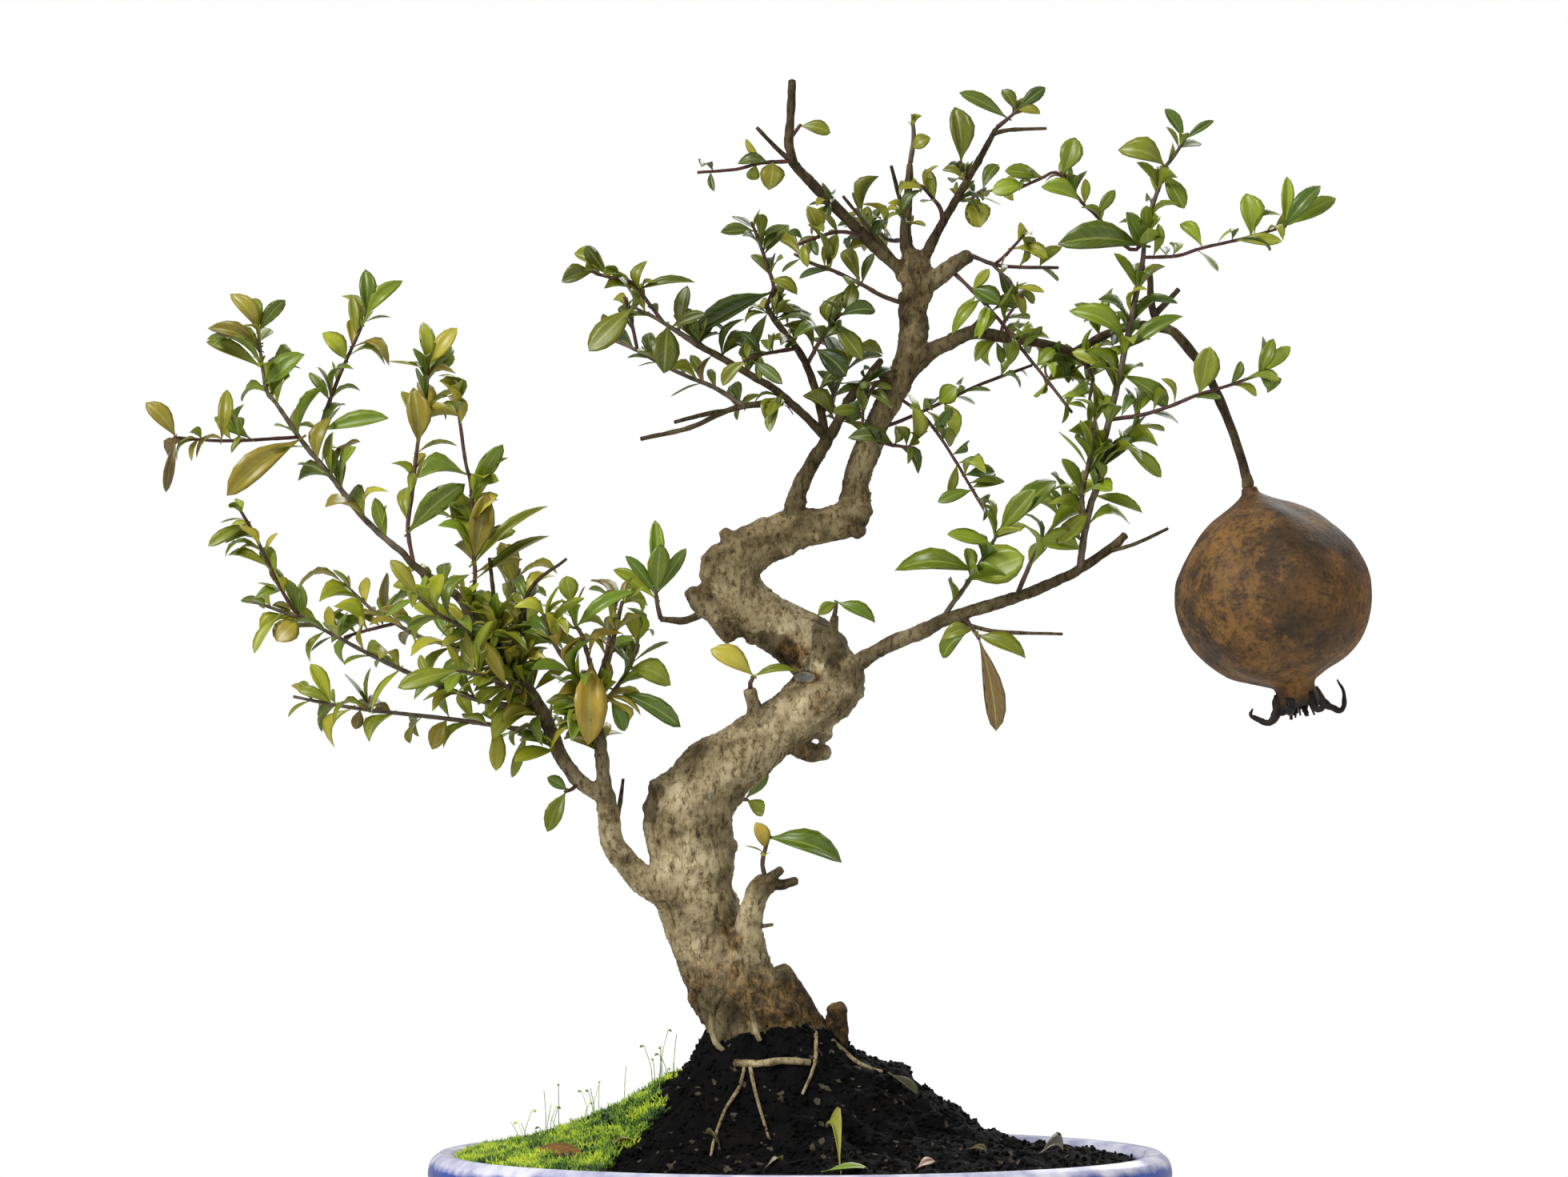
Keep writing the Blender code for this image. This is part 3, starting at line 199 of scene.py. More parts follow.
def addTube(bm, route, sides, layers=(), rough=0.0):  # a closed tube with domed ends
    side = Vector((0.3, -1, 0.2))
    rings = []
    for i, (point, radius) in enumerate(route):
        heading = (route[min(i + 1, len(route) - 1)][0] - route[max(i - 1, 0)][0]).normalized()
        side = (side - heading * side.dot(heading)).normalized()
        across = heading.cross(side)
        ring = []
        for k in range(sides):
            turn = 2 * math.pi * k / sides
            out = side * math.cos(turn) + across * math.sin(turn)
            swell = 1 + rough * noise.noise((point + out * radius) / (2.2 * radius + mm))
            ring.append(bm.verts.new(point + out * radius * swell))
        rings.append(ring)
        if i == 0:
            startDome = bm.verts.new(point - heading * radius * 0.4)
    endDome = bm.verts.new(route[-1][0] + heading * route[-1][1] * 0.4)
    for lower, upper in zip(rings, rings[1:]):
        bridge(bm, lower, upper)
    for k in range(sides):
        bm.faces.new((startDome, rings[0][(k + 1) % sides], rings[0][k]))
        bm.faces.new((endDome, rings[-1][k], rings[-1][(k + 1) % sides]))
    for layer, value in layers:
        for vertex in [startDome, endDome] + [v for ring in rings for v in ring]:
            vertex[layer] = value


def meshOf(bm, name):
    mesh = bpy.data.meshes.new(name)
    bm.to_mesh(mesh)
    bm.free()
    return mesh



# Stoneware with a cobalt glaze, dipped and fired: deep glossy blue that turns a milky lavender over the
# lip, partly where the glaze runs thin and partly as a painted highlight along the rim's top.
def cobaltGlaze():
    material, tree, surface, place = newMaterial("cobalt_glazed_stoneware")
    cloud = addNode(tree, "ShaderNodeTexNoise", {"Scale": 55.0, "Detail": 5.0},
                    {"Vector": place})  # 18 mm clouds
    speck = addNode(tree, "ShaderNodeTexNoise", {"Scale": 900.0, "Detail": 2.0},
                    {"Vector": place})  # 1.1 mm specks
    blue = addNode(tree, "ShaderNodeValToRGB", {"stops": [
        (0.3, "#1B2C74"), (0.5, "#2A4499"), (0.72, "#3A5AB6")]}, {"Fac": cloud.outputs["Fac"]})
    dark = addNode(tree, "ShaderNodeValToRGB", {"stops": [(0.28, "#3C4C86"), (0.4, "#FFFFFF")]},
                   {"Fac": speck.outputs["Fac"]})
    flecked = addNode(tree, "ShaderNodeMix", {"data_type": "RGBA", "blend_type": "MULTIPLY", 0: 0.7},
                      {6: blue.outputs[0], 7: dark.outputs[0]})
    height = addNode(tree, "ShaderNodeSeparateXYZ", links={0: place})
    wander = addNode(tree, "ShaderNodeTexNoise", {"Scale": 120.0, "Detail": 4.0}, {"Vector": place})
    edge = addNode(tree, "ShaderNodeMath", {"operation": "MULTIPLY_ADD", 1: 0.0042},
                   {0: wander.outputs["Fac"], 2: height.outputs["Z"]})
    # partly painted highlight: near the top of the lip the glaze is made pale lavender, partly for thin
    # glaze and partly for the rim's highlight
    thin = addNode(tree, "ShaderNodeMapRange", {"From Min": 0.0628, "From Max": 0.0648},
                   {"Value": edge.outputs[0]})
    milkyLipAndHighlight = addNode(tree, "ShaderNodeValToRGB", {"stops": [(0.35, "#A3A4C4"), (0.65, "#DCDCE8")]},
                    {"Fac": wander.outputs["Fac"]})
    glaze = addNode(tree, "ShaderNodeMix", {"data_type": "RGBA"},
                    {0: thin.outputs[0], 6: flecked.outputs[2], 7: milkyLipAndHighlight.outputs[0]})
    foot = addNode(tree, "ShaderNodeMapRange", {"From Min": 0.0082, "From Max": 0.0074},
                   {"Value": edge.outputs[0]})
    clay = addNode(tree, "ShaderNodeMix", {"data_type": "RGBA", 7: "#8C6E52"},
                   {0: foot.outputs[0], 6: glaze.outputs[2]})
    tree.links.new(clay.outputs[2], surface.inputs["Base Color"])
    gloss = addNode(tree, "ShaderNodeMapRange", {"To Min": 0.14, "To Max": 0.3},
                    {"Value": cloud.outputs["Fac"]})
    tree.links.new(gloss.outputs[0], surface.inputs["Roughness"])
    surface.inputs["IOR"].default_value = 1.52
    bumped(tree, surface, cloud.outputs["Fac"], 0.25, 0.4 * mm)
    return material


# Moulded polyethylene mesh: matt black, with the grain of the tool and a little dust.
def blackMesh():
    material, tree, surface, place = newMaterial("black_moulded_polyethylene")
    dust = addNode(tree, "ShaderNodeTexNoise", {"Scale": 300.0, "Detail": 3.0}, {"Vector": place})
    tone = addNode(tree, "ShaderNodeValToRGB", {"stops": [(0.4, "#17171A"), (0.75, "#3A362F")]},
                   {"Fac": dust.outputs["Fac"]})
    tree.links.new(tone.outputs[0], surface.inputs["Base Color"])
    surface.inputs["Roughness"].default_value = 0.6
    bumped(tree, surface, dust.outputs["Fac"], 0.3, 0.1 * mm)
    return material


# Damp potting soil, peat and fine grit: nearly black, with crumbs, bits of bark and pale grains.
def dampSoil():
    material, tree, surface, place = newMaterial("damp_peat_and_grit")
    clod = addNode(tree, "ShaderNodeTexNoise", {"Scale": 130.0, "Detail": 6.0},
                   {"Vector": place})  # 8 mm clods
    grain = addNode(tree, "ShaderNodeTexVoronoi", {"Scale": 620.0}, {"Vector": place})  # 1.6 mm grains
    earth = addNode(tree, "ShaderNodeValToRGB", {"stops": [
        (0.3, "#010000"), (0.52, "#030202"), (0.7, "#080604"), (0.84, "#17110A")]},
        {"Fac": clod.outputs["Fac"]})
    pick = addNode(tree, "ShaderNodeSeparateColor", links={0: grain.outputs["Color"]})
    pale = addNode(tree, "ShaderNodeValToRGB", {"stops": [(0.975, 0.0), (0.985, 0.6)]},
                   {"Fac": pick.outputs[0]})
    mixed = addNode(tree, "ShaderNodeMix", {"data_type": "RGBA", 7: "#635A4C"},
                    {0: pale.outputs[0], 6: earth.outputs[0]})
    tree.links.new(mixed.outputs[2], surface.inputs["Base Color"])
    surface.inputs["Specular IOR Level"].default_value = 0.14
    damp = addNode(tree, "ShaderNodeMapRange", {"To Min": 0.98, "To Max": 0.78},
                   {"Value": clod.outputs["Fac"]})
    tree.links.new(damp.outputs[0], surface.inputs["Roughness"])
    bumped(tree, surface, grain.outputs["Distance"], 0.8, 0.6 * mm)
    return material


# Living bark of an old pomegranate, smooth and flaking: pale grey beige with dark flecks,
# orange brown rubbed spots and fine cracks, browner on the twigs and near the soil, with painted
# shade darkening its folds and forks.
def weatheredBark():
    material, tree, surface, place = newMaterial("weathered_pomegranate_bark")
    tone = addNode(tree, "ShaderNodeAttribute", {"attribute_name": "woodTone"})
    marks = addNode(tree, "ShaderNodeSeparateColor", links={0: tone.outputs["Color"]})
    patch = addNode(tree, "ShaderNodeTexNoise", {"Scale": 75.0, "Detail": 7.0, "Roughness": 0.62},
                    {"Vector": place})
    trunk = addNode(tree, "ShaderNodeValToRGB", {"stops": [
        (0.34, "#675A42"), (0.44, "#908261"), (0.53, "#B4A581"), (0.64, "#CBBE99")]},
        {"Fac": patch.outputs["Fac"]})
    twig = addNode(tree, "ShaderNodeValToRGB", {"stops": [
        (0.3, "#3C3326"), (0.5, "#6A5E45"), (0.72, "#918565")]}, {"Fac": patch.outputs["Fac"]})
    wood = addNode(tree, "ShaderNodeMix", {"data_type": "RGBA"},
                   {0: marks.outputs[0], 6: twig.outputs[0], 7: trunk.outputs[0]})
    drawn = addNode(tree, "ShaderNodeMapping", {"Scale": (1.0, 1.0, 0.45)}, {"Vector": place})
    fleck = addNode(tree, "ShaderNodeTexNoise", {
        "Scale": 640.0, "Detail": 6.0, "Roughness": 0.75, "Distortion": 0.4},
        {"Vector": drawn.outputs[0]})  # flecks 1.5 mm wide, twice as long
    dark = addNode(tree, "ShaderNodeValToRGB",
                   {"stops": [(0.35, "#2E2619"), (0.45, "#CDC2AA"), (0.52, "#FFFFFF")]},
                   {"Fac": fleck.outputs["Fac"]})
    flecked = addNode(tree, "ShaderNodeMix", {"data_type": "RGBA", "blend_type": "MULTIPLY", 0: 0.85},
                      {6: wood.outputs[2], 7: dark.outputs[0]})
    pores = addNode(tree, "ShaderNodeTexVoronoi", {"Scale": 170.0},
                    {"Vector": place})  # lenticels 6 mm apart
    spot = addNode(tree, "ShaderNodeValToRGB", {"stops": [(0.05, 0.35), (0.12, 0.0)]},
                   {"Fac": pores.outputs["Distance"]})
    spotted = addNode(tree, "ShaderNodeMix", {"data_type": "RGBA", 7: "#6B4A2C"},
                      {0: spot.outputs[0], 6: flecked.outputs[2]})
    flake = addNode(tree, "ShaderNodeTexNoise", {"Scale": 330.0, "Detail": 6.0, "Roughness": 0.7},
                    {"Vector": place})
    stain = addNode(tree, "ShaderNodeValToRGB",
                    {"stops": [(0.36, "#21180F"), (0.48, "#705738"), (0.6, "#CDB286")]},
                    {"Fac": flake.outputs["Fac"]})  # flakes 3 mm wide, stained by the soil
    # the grime mask darkens the bark with these flakes: soil stain, the seal's dark ring and random
    # patches, and painted shade in the trunk's folds and forks
    grimyAndShaded = addNode(tree, "ShaderNodeMix", {"data_type": "RGBA", "blend_type": "MULTIPLY"},
                    {0: marks.outputs[2], 6: spotted.outputs[2], 7: stain.outputs[0]})
    parts = addNode(tree, "ShaderNodeSeparateXYZ", links={0: place})
    height = addNode(tree, "ShaderNodeMapRange", {"From Min": 0.222, "From Max": 0.25, "To Max": 0.75},
                     {"Value": parts.outputs["Z"]})
    darkerHigher = addNode(tree, "ShaderNodeMix", {"data_type": "RGBA", "blend_type": "MULTIPLY", 7: "#AFA996"},
                      {0: height.outputs[0], 6: grimyAndShaded.outputs[2]})  # the upper trunk is darker
    sealed = addNode(tree, "ShaderNodeMix", {"data_type": "RGBA", 7: "#585B5C"},
                     {0: marks.outputs[1], 6: darkerHigher.outputs[2]})
    tree.links.new(sealed.outputs[2], surface.inputs["Base Color"])
    surface.inputs["Roughness"].default_value = 0.82
    surface.inputs["Specular IOR Level"].default_value = 0.2
    crack = addNode(tree, "ShaderNodeTexNoise", {"Scale": 1100.0, "Detail": 5.0, "Roughness": 0.7},
                    {"Vector": place})
    relief = addNode(tree, "ShaderNodeMath", {"operation": "ADD"},
                     {0: fleck.outputs["Fac"], 1: crack.outputs["Fac"]})
    bumped(tree, surface, relief.outputs[0], 0.9, 0.6 * mm)
    return material


# Dried pomegranate rind, leathery and hard: russet brown with ochre scurf and olive shadows.
def driedRind():
    material, tree, surface, place = newMaterial("dried_leathery_rind")
    cloud = addNode(tree, "ShaderNodeTexNoise", {"Scale": 60.0, "Detail": 6.0, "Roughness": 0.6},
                    {"Vector": place})
    scurf = addNode(tree, "ShaderNodeTexNoise",
                    {"Scale": 150.0, "Detail": 10.0, "Roughness": 0.8, "Distortion": 0.25},
                    {"Vector": place})
    skin = addNode(tree, "ShaderNodeValToRGB", {"stops": [
        (0.34, "#241A0F"), (0.46, "#42301A"), (0.58, "#5C4122"), (0.72, "#745129")]},
        {"Fac": cloud.outputs["Fac"]})
    region = addNode(tree, "ShaderNodeTexNoise", {"Scale": 38.0, "Detail": 2.0},
                     {"Vector": place})  # 26 mm regions
    patchy = addNode(tree, "ShaderNodeMath", {"operation": "MULTIPLY_ADD", 1: 0.5},
                     {0: region.outputs["Fac"], 2: scurf.outputs["Fac"]})
    lowered = addNode(tree, "ShaderNodeMath", {"operation": "SUBTRACT", 1: 0.25}, {0: patchy.outputs[0]})
    ochre = addNode(tree, "ShaderNodeValToRGB", {"stops": [(0.5, 0.0), (0.59, 0.5), (0.7, 0.8)]},
                    {"Fac": lowered.outputs[0]})
    warm = addNode(tree, "ShaderNodeMix", {"data_type": "RGBA", 7: "#8F6834"},
                   {0: ochre.outputs[0], 6: skin.outputs[0]})
    speck = addNode(tree, "ShaderNodeTexNoise", {"Scale": 700.0, "Detail": 3.0},
                    {"Vector": place})  # 1.4 mm specks
    dark = addNode(tree, "ShaderNodeValToRGB", {"stops": [(0.3, "#6A5B48"), (0.5, "#FFFFFF")]},
                   {"Fac": speck.outputs["Fac"]})
    rind = addNode(tree, "ShaderNodeMix", {"data_type": "RGBA", "blend_type": "MULTIPLY", 0: 0.6},
                   {6: warm.outputs[2], 7: dark.outputs[0]})
    tone = addNode(tree, "ShaderNodeAttribute", {"attribute_name": "charring"})
    charred = addNode(tree, "ShaderNodeMix", {"data_type": "RGBA", 7: "#1E1815"},
                      {0: tone.outputs["Fac"], 6: rind.outputs[2]})
    tree.links.new(charred.outputs[2], surface.inputs["Base Color"])
    gloss = addNode(tree, "ShaderNodeMapRange", {"To Min": 0.48, "To Max": 0.78},
                    {"Value": scurf.outputs["Fac"]})
    tree.links.new(gloss.outputs[0], surface.inputs["Roughness"])
    relief = addNode(tree, "ShaderNodeMath", {"operation": "ADD"},
                     {0: scurf.outputs["Fac"], 1: speck.outputs["Fac"]})
    surface.inputs["Specular IOR Level"].default_value = 0.3
    bumped(tree, surface, relief.outputs[0], 0.55, 0.35 * mm)
    return material


# Pomegranate leaf: waxy, so a soft sheen, with a pale sunken midrib, faint side veins and
# edges that turn yellow or red. Each leaf has its own tint.
def waxyLeaf():
    material, tree, surface, place = newMaterial("waxy_pomegranate_leaf")
    tint = addNode(tree, "ShaderNodeAttribute", {"attribute_name": "tint"})
    along = addNode(tree, "ShaderNodeUVMap", {"uv_map": "leafMap"})
    parts = addNode(tree, "ShaderNodeSeparateXYZ", links={0: along.outputs[0]})
    middle = addNode(tree, "ShaderNodeMath", {"operation": "SUBTRACT", 1: 0.5}, {0: parts.outputs["Y"]})
    aside = addNode(tree, "ShaderNodeMath", {"operation": "ABSOLUTE"}, {0: middle.outputs[0]})
    mottle = addNode(tree, "ShaderNodeTexNoise", {"Scale": 260.0, "Detail": 4.0},
                     {"Vector": place})  # 4 mm mottle
    shade = addNode(tree, "ShaderNodeValToRGB", {"stops": [(0.3, 0.62), (0.7, 1.0)]},
                    {"Fac": mottle.outputs["Fac"]})
    mottled = addNode(tree, "ShaderNodeMix", {"data_type": "RGBA", "blend_type": "MULTIPLY", 0: 0.6},
                      {6: tint.outputs["Color"], 7: shade.outputs[0]})
    slant = addNode(tree, "ShaderNodeMath", {"operation": "MULTIPLY_ADD", 1: -0.55},
                    {0: aside.outputs[0], 2: parts.outputs["X"]})
    waves = addNode(tree, "ShaderNodeMath", {"operation": "MULTIPLY", 1: 56.0},
                    {0: slant.outputs[0]})  # 9 veins
    vein = addNode(tree, "ShaderNodeMath", {"operation": "SINE"}, {0: waves.outputs[0]})
    veinLight = addNode(tree, "ShaderNodeMapRange", {"From Min": 0.72, "From Max": 1.0, "To Max": 0.1},
                        {"Value": vein.outputs[0]})
    rib = addNode(tree, "ShaderNodeMapRange", {"From Min": 0.055, "From Max": 0.02, "To Max": 0.42},
                  {"Value": aside.outputs[0]})
    lines = addNode(tree, "ShaderNodeMath", {"operation": "MAXIMUM"},
                    {0: veinLight.outputs[0], 1: rib.outputs[0]})
    veined = addNode(tree, "ShaderNodeMix", {"data_type": "RGBA", 7: "#A9B25A"},
                     {0: lines.outputs[0], 6: mottled.outputs[2]})
    rim = addNode(tree, "ShaderNodeMapRange", {"From Min": 0.43, "From Max": 0.5, "To Max": 0.18},
                  {"Value": aside.outputs[0]})
    edged = addNode(tree, "ShaderNodeMix", {"data_type": "RGBA", 7: "#9A8A34"},
                    {0: rim.outputs[0], 6: veined.outputs[2]})
    tree.links.new(edged.outputs[2], surface.inputs["Base Color"])
    surface.inputs["Roughness"].default_value = 0.36
    surface.inputs["IOR"].default_value = 1.45
    surface.inputs["Subsurface Weight"].default_value = 0.08  # light glows through the thin blade
    surface.inputs["Subsurface Scale"].default_value = 0.0012
    surface.inputs["Subsurface Radius"].default_value = (0.8, 1.0, 0.3)
    bumped(tree, surface, rib.outputs[0], 0.35, 0.12 * mm)
    return material


# Young pomegranate shoots, smooth and square: dark red brown that greys with age.
def youngShoot():
    material, tree, surface, place = newMaterial("red_brown_young_shoot")
    age = addNode(tree, "ShaderNodeAttribute", {"attribute_name": "age"})
    streak = addNode(tree, "ShaderNodeTexNoise", {"Scale": 420.0, "Detail": 4.0}, {"Vector": place})
    young = addNode(tree, "ShaderNodeValToRGB", {"stops": [(0.35, "#2C1816"), (0.65, "#5C2A23")]},
                    {"Fac": streak.outputs["Fac"]})
    old = addNode(tree, "ShaderNodeValToRGB", {"stops": [(0.3, "#382D20"), (0.7, "#6C6048")]},
                  {"Fac": streak.outputs["Fac"]})
    skin = addNode(tree, "ShaderNodeMix", {"data_type": "RGBA"},
                   {0: age.outputs["Fac"], 6: young.outputs[0], 7: old.outputs[0]})
    tree.links.new(skin.outputs[2], surface.inputs["Base Color"])
    surface.inputs["Roughness"].default_value = 0.6
    bumped(tree, surface, streak.outputs["Fac"], 0.4, 0.2 * mm)
    return material


# Living moss: velvety bright green tips over dark green, with yellowing patches.
def livingMoss():
    material, tree, surface, place = newMaterial("living_cushion_moss")
    cloud = addNode(tree, "ShaderNodeTexNoise", {"Scale": 110.0, "Detail": 4.0},
                    {"Vector": place})  # 9 mm cushions
    strand = addNode(tree, "ShaderNodeTexNoise", {"Scale": 1200.0, "Detail": 2.0}, {"Vector": place})
    mixed = addNode(tree, "ShaderNodeMath", {"operation": "MULTIPLY_ADD", 1: 0.45},
                    {0: strand.outputs["Fac"], 2: cloud.outputs["Fac"]})
    green = addNode(tree, "ShaderNodeValToRGB", {"stops": [
        (0.52, "#0C1803"), (0.63, "#2E560A"), (0.73, "#7C9E14"), (0.85, "#C4D62E")]},
        {"Fac": mixed.outputs[0]})
    tree.links.new(green.outputs[0], surface.inputs["Base Color"])
    surface.inputs["Roughness"].default_value = 0.85
    surface.inputs["Sheen Weight"].default_value = 0.05
    return material


# The trunk: u, v, depth in millimetres, radius in millimetres.
trunkRoute = [
    (962, 1420, 2, 7), (958, 1345, 0, 13), (945, 1290, 0, 16.5), (925, 1250, 0, 14), (890, 1190, -1, 11.8),
    (870, 1120, -2, 12.5), (864, 1070, -2, 13), (862, 1012, -2, 13.5), (890, 972, -2, 11.5),
    (930, 943, -1, 9.4),
    (975, 910, 0, 9.2), (1015, 880, 1, 9.6), (1035, 850, 2, 10.6), (1020, 815, 2, 9.2), (975, 785, 1, 9.2),
    (935, 757, 0, 9), (917, 730, 0, 9), (911, 709, 0, 8.5), (936, 688, 1, 7.8), (968, 674, 2, 7.2),
    (1000, 662, 3, 6.5), (1035, 655, 4, 5.6), (1066, 641, 5, 5.4), (1072, 600, 6, 4.1), (1087, 555, 6, 4.2),
    (1100, 522, 6, 3.6), (1120, 483, 6, 4.6), (1135, 450, 6, 4), (1142, 416, 6, 4.7), (1140, 387, 6, 4.2),
    (1146, 368, 6, 5.2), (1144, 340, 6, 5.4), (1142, 316, 6, 3.4),
]


def limb(points, depth, radius):  # depth and radius from start to end in mm
    return {"points": points, "depth": depth, "radius": radius}


limbs = {
    "second_trunk": limb(
        [(990, 1330), (966, 1278), (946, 1236), (934, 1190), (936, 1150)],
        (-5, -12), (12.5, 3.9)),
    "second_trunk_head": limb([(936, 1152), (946, 1118), (960, 1101)], (-12, -12), (3.8, 3.4)),
    "head_stub_right": limb([(958, 1106), (978, 1106), (997, 1101)], (-12, -13), (1.9, 1.3)),
    "head_stub_up": limb([(956, 1104), (966, 1095), (977, 1087)], (-12, -16), (1.9, 1.4)),
    "head_thorn": limb([(940, 1160), (953, 1158), (966, 1156)], (-12, -14), (0.9, 0.5)),
    "buttress": limb([(962, 1222), (985, 1250), (1012, 1290), (1030, 1345)], (-6, -2), (6.5, 5)),
    "stump_root": limb([(1045, 1258), (1046, 1290), (1042, 1340)], (-4, 0), (3.3, 3.6)),
    "loop_root": limb(
        [(903, 1240), (892, 1262), (890, 1284), (895, 1303), (912, 1318), (935, 1322)],
        (-14, -10), (1, 0.9)),
    "hook_root": limb([(940, 1262), (944, 1287), (950, 1300)], (-16, -17), (1.1, 0.8)),
    "level_root": limb([(918, 1329), (948, 1330), (979, 1326), (1012, 1328)], (-17, -14.5), (1.6, 1.3)),
    "thin_root_left": limb(
        [(932, 1326), (924, 1360), (908, 1384), (893, 1424), (887, 1456)],
        (-17, -44), (0.8, 0.6)),
    "thin_root_mid": limb([(936, 1326), (944, 1364), (954, 1400), (961, 1422)], (-17, -38), (0.8, 0.6)),
    "thin_root_right": limb([(1020, 1283), (1018, 1330), (1003, 1368)], (-8, -26), (0.9, 0.6)),
    "far_root": limb([(1040, 1300), (1073, 1329), (1103, 1340)], (-3, -8), (1, 0.7)),
    "cut_under": limb([(985, 925), (1008, 940), (1036, 941)], (0, 2), (3.4, 2.4)),
    "stub_left": limb([(952, 915), (944, 890), (938, 862)], (-2, -6), (2.8, 2.2)),
    "knuckle_stub": limb([(1036, 830), (1041, 800), (1043, 770)], (0, -8), (2.2, 1.4)),
    "knuckle_spine": limb([(985, 828), (966, 815), (945, 800)], (-1, -14), (1.1, 0.5)),
    "section_stub": limb([(918, 796), (893, 768), (874, 754), (866, 737)], (0, 0), (3.6, 2.9)),
    "section_twig": limb([(880, 765), (857, 776), (826, 774)], (0, -4), (1.4, 1)),
    "left_branch": limb(
        [(842, 1122), (808, 1104), (786, 1082), (768, 1056), (760, 1014), (757, 990)],
        (-4, -12), (5, 2.9)),
    "left_fork_up": limb([(757, 1000), (752, 945), (746, 900), (743, 848)], (-12, -20), (2.4, 1.6)),
    "left_limb": limb(
        [(757, 998), (724, 976), (703, 948), (690, 918), (674, 884), (654, 856), (638, 837),
            (619, 817), (600, 790)],
        (-12, -13), (2.5, 1.9)),
    "left_limb_end": limb(
        [(604, 796), (585, 766), (574, 747), (545, 728), (513, 703), (505, 692)],
        (-13, -10), (1.8, 1.1)),
    "left_stub_a": limb([(620, 820), (618, 760), (612, 698)], (-13, -18), (0.9, 0.6)),
    "left_stub_b": limb([(656, 858), (655, 819), (656, 758)], (-13, -8), (1, 0.7)),
    "left_stub_c": limb([(747, 890), (766, 802), (778, 752)], (-17, -22), (1, 0.6)),
    "left_thorn": limb([(640, 838), (660, 742), (708, 699)], (-13, -26), (0.9, 0.5)),
    "fork_thorn": limb([(768, 1040), (775, 1004), (779, 974)], (-8, -10), (0.9, 0.5)),
    "inner_branch": limb(
        [(985, 668), (992, 632), (1004, 600), (1019, 574), (1033, 551)],
        (2, -4), (3, 2.2)),
    "inner_branch_up": limb(
        [(1028, 560), (1044, 534), (1065, 495), (1079, 480), (1102, 450)],
        (-4, 0), (2, 1.2)),
    "inner_left": limb(
        [(1036, 552), (1012, 526), (972, 490), (945, 473), (900, 447), (871, 431)],
        (-4, -8), (1.5, 1.05)),
    "inner_middle": limb(
        [(1032, 550), (1024, 505), (1006, 452), (982, 418), (966, 397), (958, 383)],
        (-3, 2), (1.5, 0.9)),
    "inner_low": limb(
        [(978, 503), (957, 505), (929, 508), (903, 516), (862, 535), (801, 549)],
        (-5, 6), (1.3, 0.7)),
    "inner_low_fork": limb([(908, 514), (887, 517), (843, 528)], (1.4, -4), (0.9, 0.6)),
    "leader": limb([(1141, 330), (1132, 300), (1134, 256), (1138, 204)], (6, 5), (2.4, 1.2)),
    "leader_stub": limb([(1134, 282), (1124, 246), (1114, 208)], (5, 8), (1, 0.6)),
    "crown_left": limb(
        [(1134, 345), (1104, 318), (1077, 292), (1033, 248), (996, 210), (985, 195)],
        (6, -2), (2.2, 1.5)),
    "crown_left_up": limb([(991, 204), (986, 176), (989, 137), (990, 101)], (-2, -2), (1.6, 1.3)),
    "crown_left_twig": limb([(988, 200), (973, 188), (946, 160)], (-2, -4), (1, 0.6)),
    "crown_dark_twig": limb([(1120, 326), (1081, 279), (1054, 246)], (5, -8), (0.7, 0.5)),
    "crown_right": limb(
        [(1148, 340), (1161, 312), (1176, 283), (1194, 252), (1223, 202), (1246, 160)],
        (6, 0), (2, 0.95)),
    "crown_spine": limb([(1241, 168), (1262, 163), (1308, 161)], (0, -2), (0.8, 0.5)),
    "crown_cut": limb([(1146, 362), (1171, 348), (1188, 334), (1212, 319)], (4, 0), (3.2, 2.4)),
    "middle_branch": limb(
        [(1124, 478), (1160, 442), (1179, 432), (1214, 416), (1237, 419), (1294, 428), (1344, 442),
            (1361, 460)],
        (6, -6), (3, 1.2)),
    "middle_spur": limb([(1208, 418), (1218, 410), (1226, 401)], (1, -2), (1.4, 1.1)),
    "middle_reach": limb([(1344, 440), (1372, 424), (1412, 408), (1446, 408)], (-5, 12), (1.3, 1.5)),
    "stalk_knot_up": limb([(1450, 410), (1440, 384), (1437, 341)], (12, 10), (1.5, 1)),
    "stalk_knot_side": limb([(1441, 395), (1457, 380), (1473, 362)], (12, 16), (1.2, 0.8)),
    "stalk": limb(
        [(1440, 409), (1458, 411), (1472, 420), (1495, 447), (1510, 468), (1531, 516), (1543, 547),
            (1552, 575),
         (1559, 602)],
        (12, -4), (1.6, 1.4)),
    "stalk_collar": limb([(1557, 592), (1561, 609)], (-4, -4), (1.6, 2.1)),
    "right_branch": limb(
        [(1050, 846), (1073, 829), (1112, 806), (1150, 791), (1177, 777), (1215, 764), (1279, 744),
            (1342, 717)],
        (0, -8), (2.9, 1.7)),
    "right_branch_end": limb([(1338, 719), (1368, 700), (1393, 682), (1407, 669)], (-8, -6), (1.6, 1.2)),
    "right_spine": limb([(1386, 690), (1419, 680), (1460, 661)], (-7, -12), (0.7, 0.5)),
    "right_low_spine": limb([(1190, 774), (1240, 789), (1328, 793)], (-4, -6), (0.9, 0.5)),
}


def stem(points, depth, radius, pairs, blade):  # a leafy stem, its leaf pairs and leaf length
    return {"points": points, "depth": depth, "radius": radius, "pairs": pairs, "blade": blade}


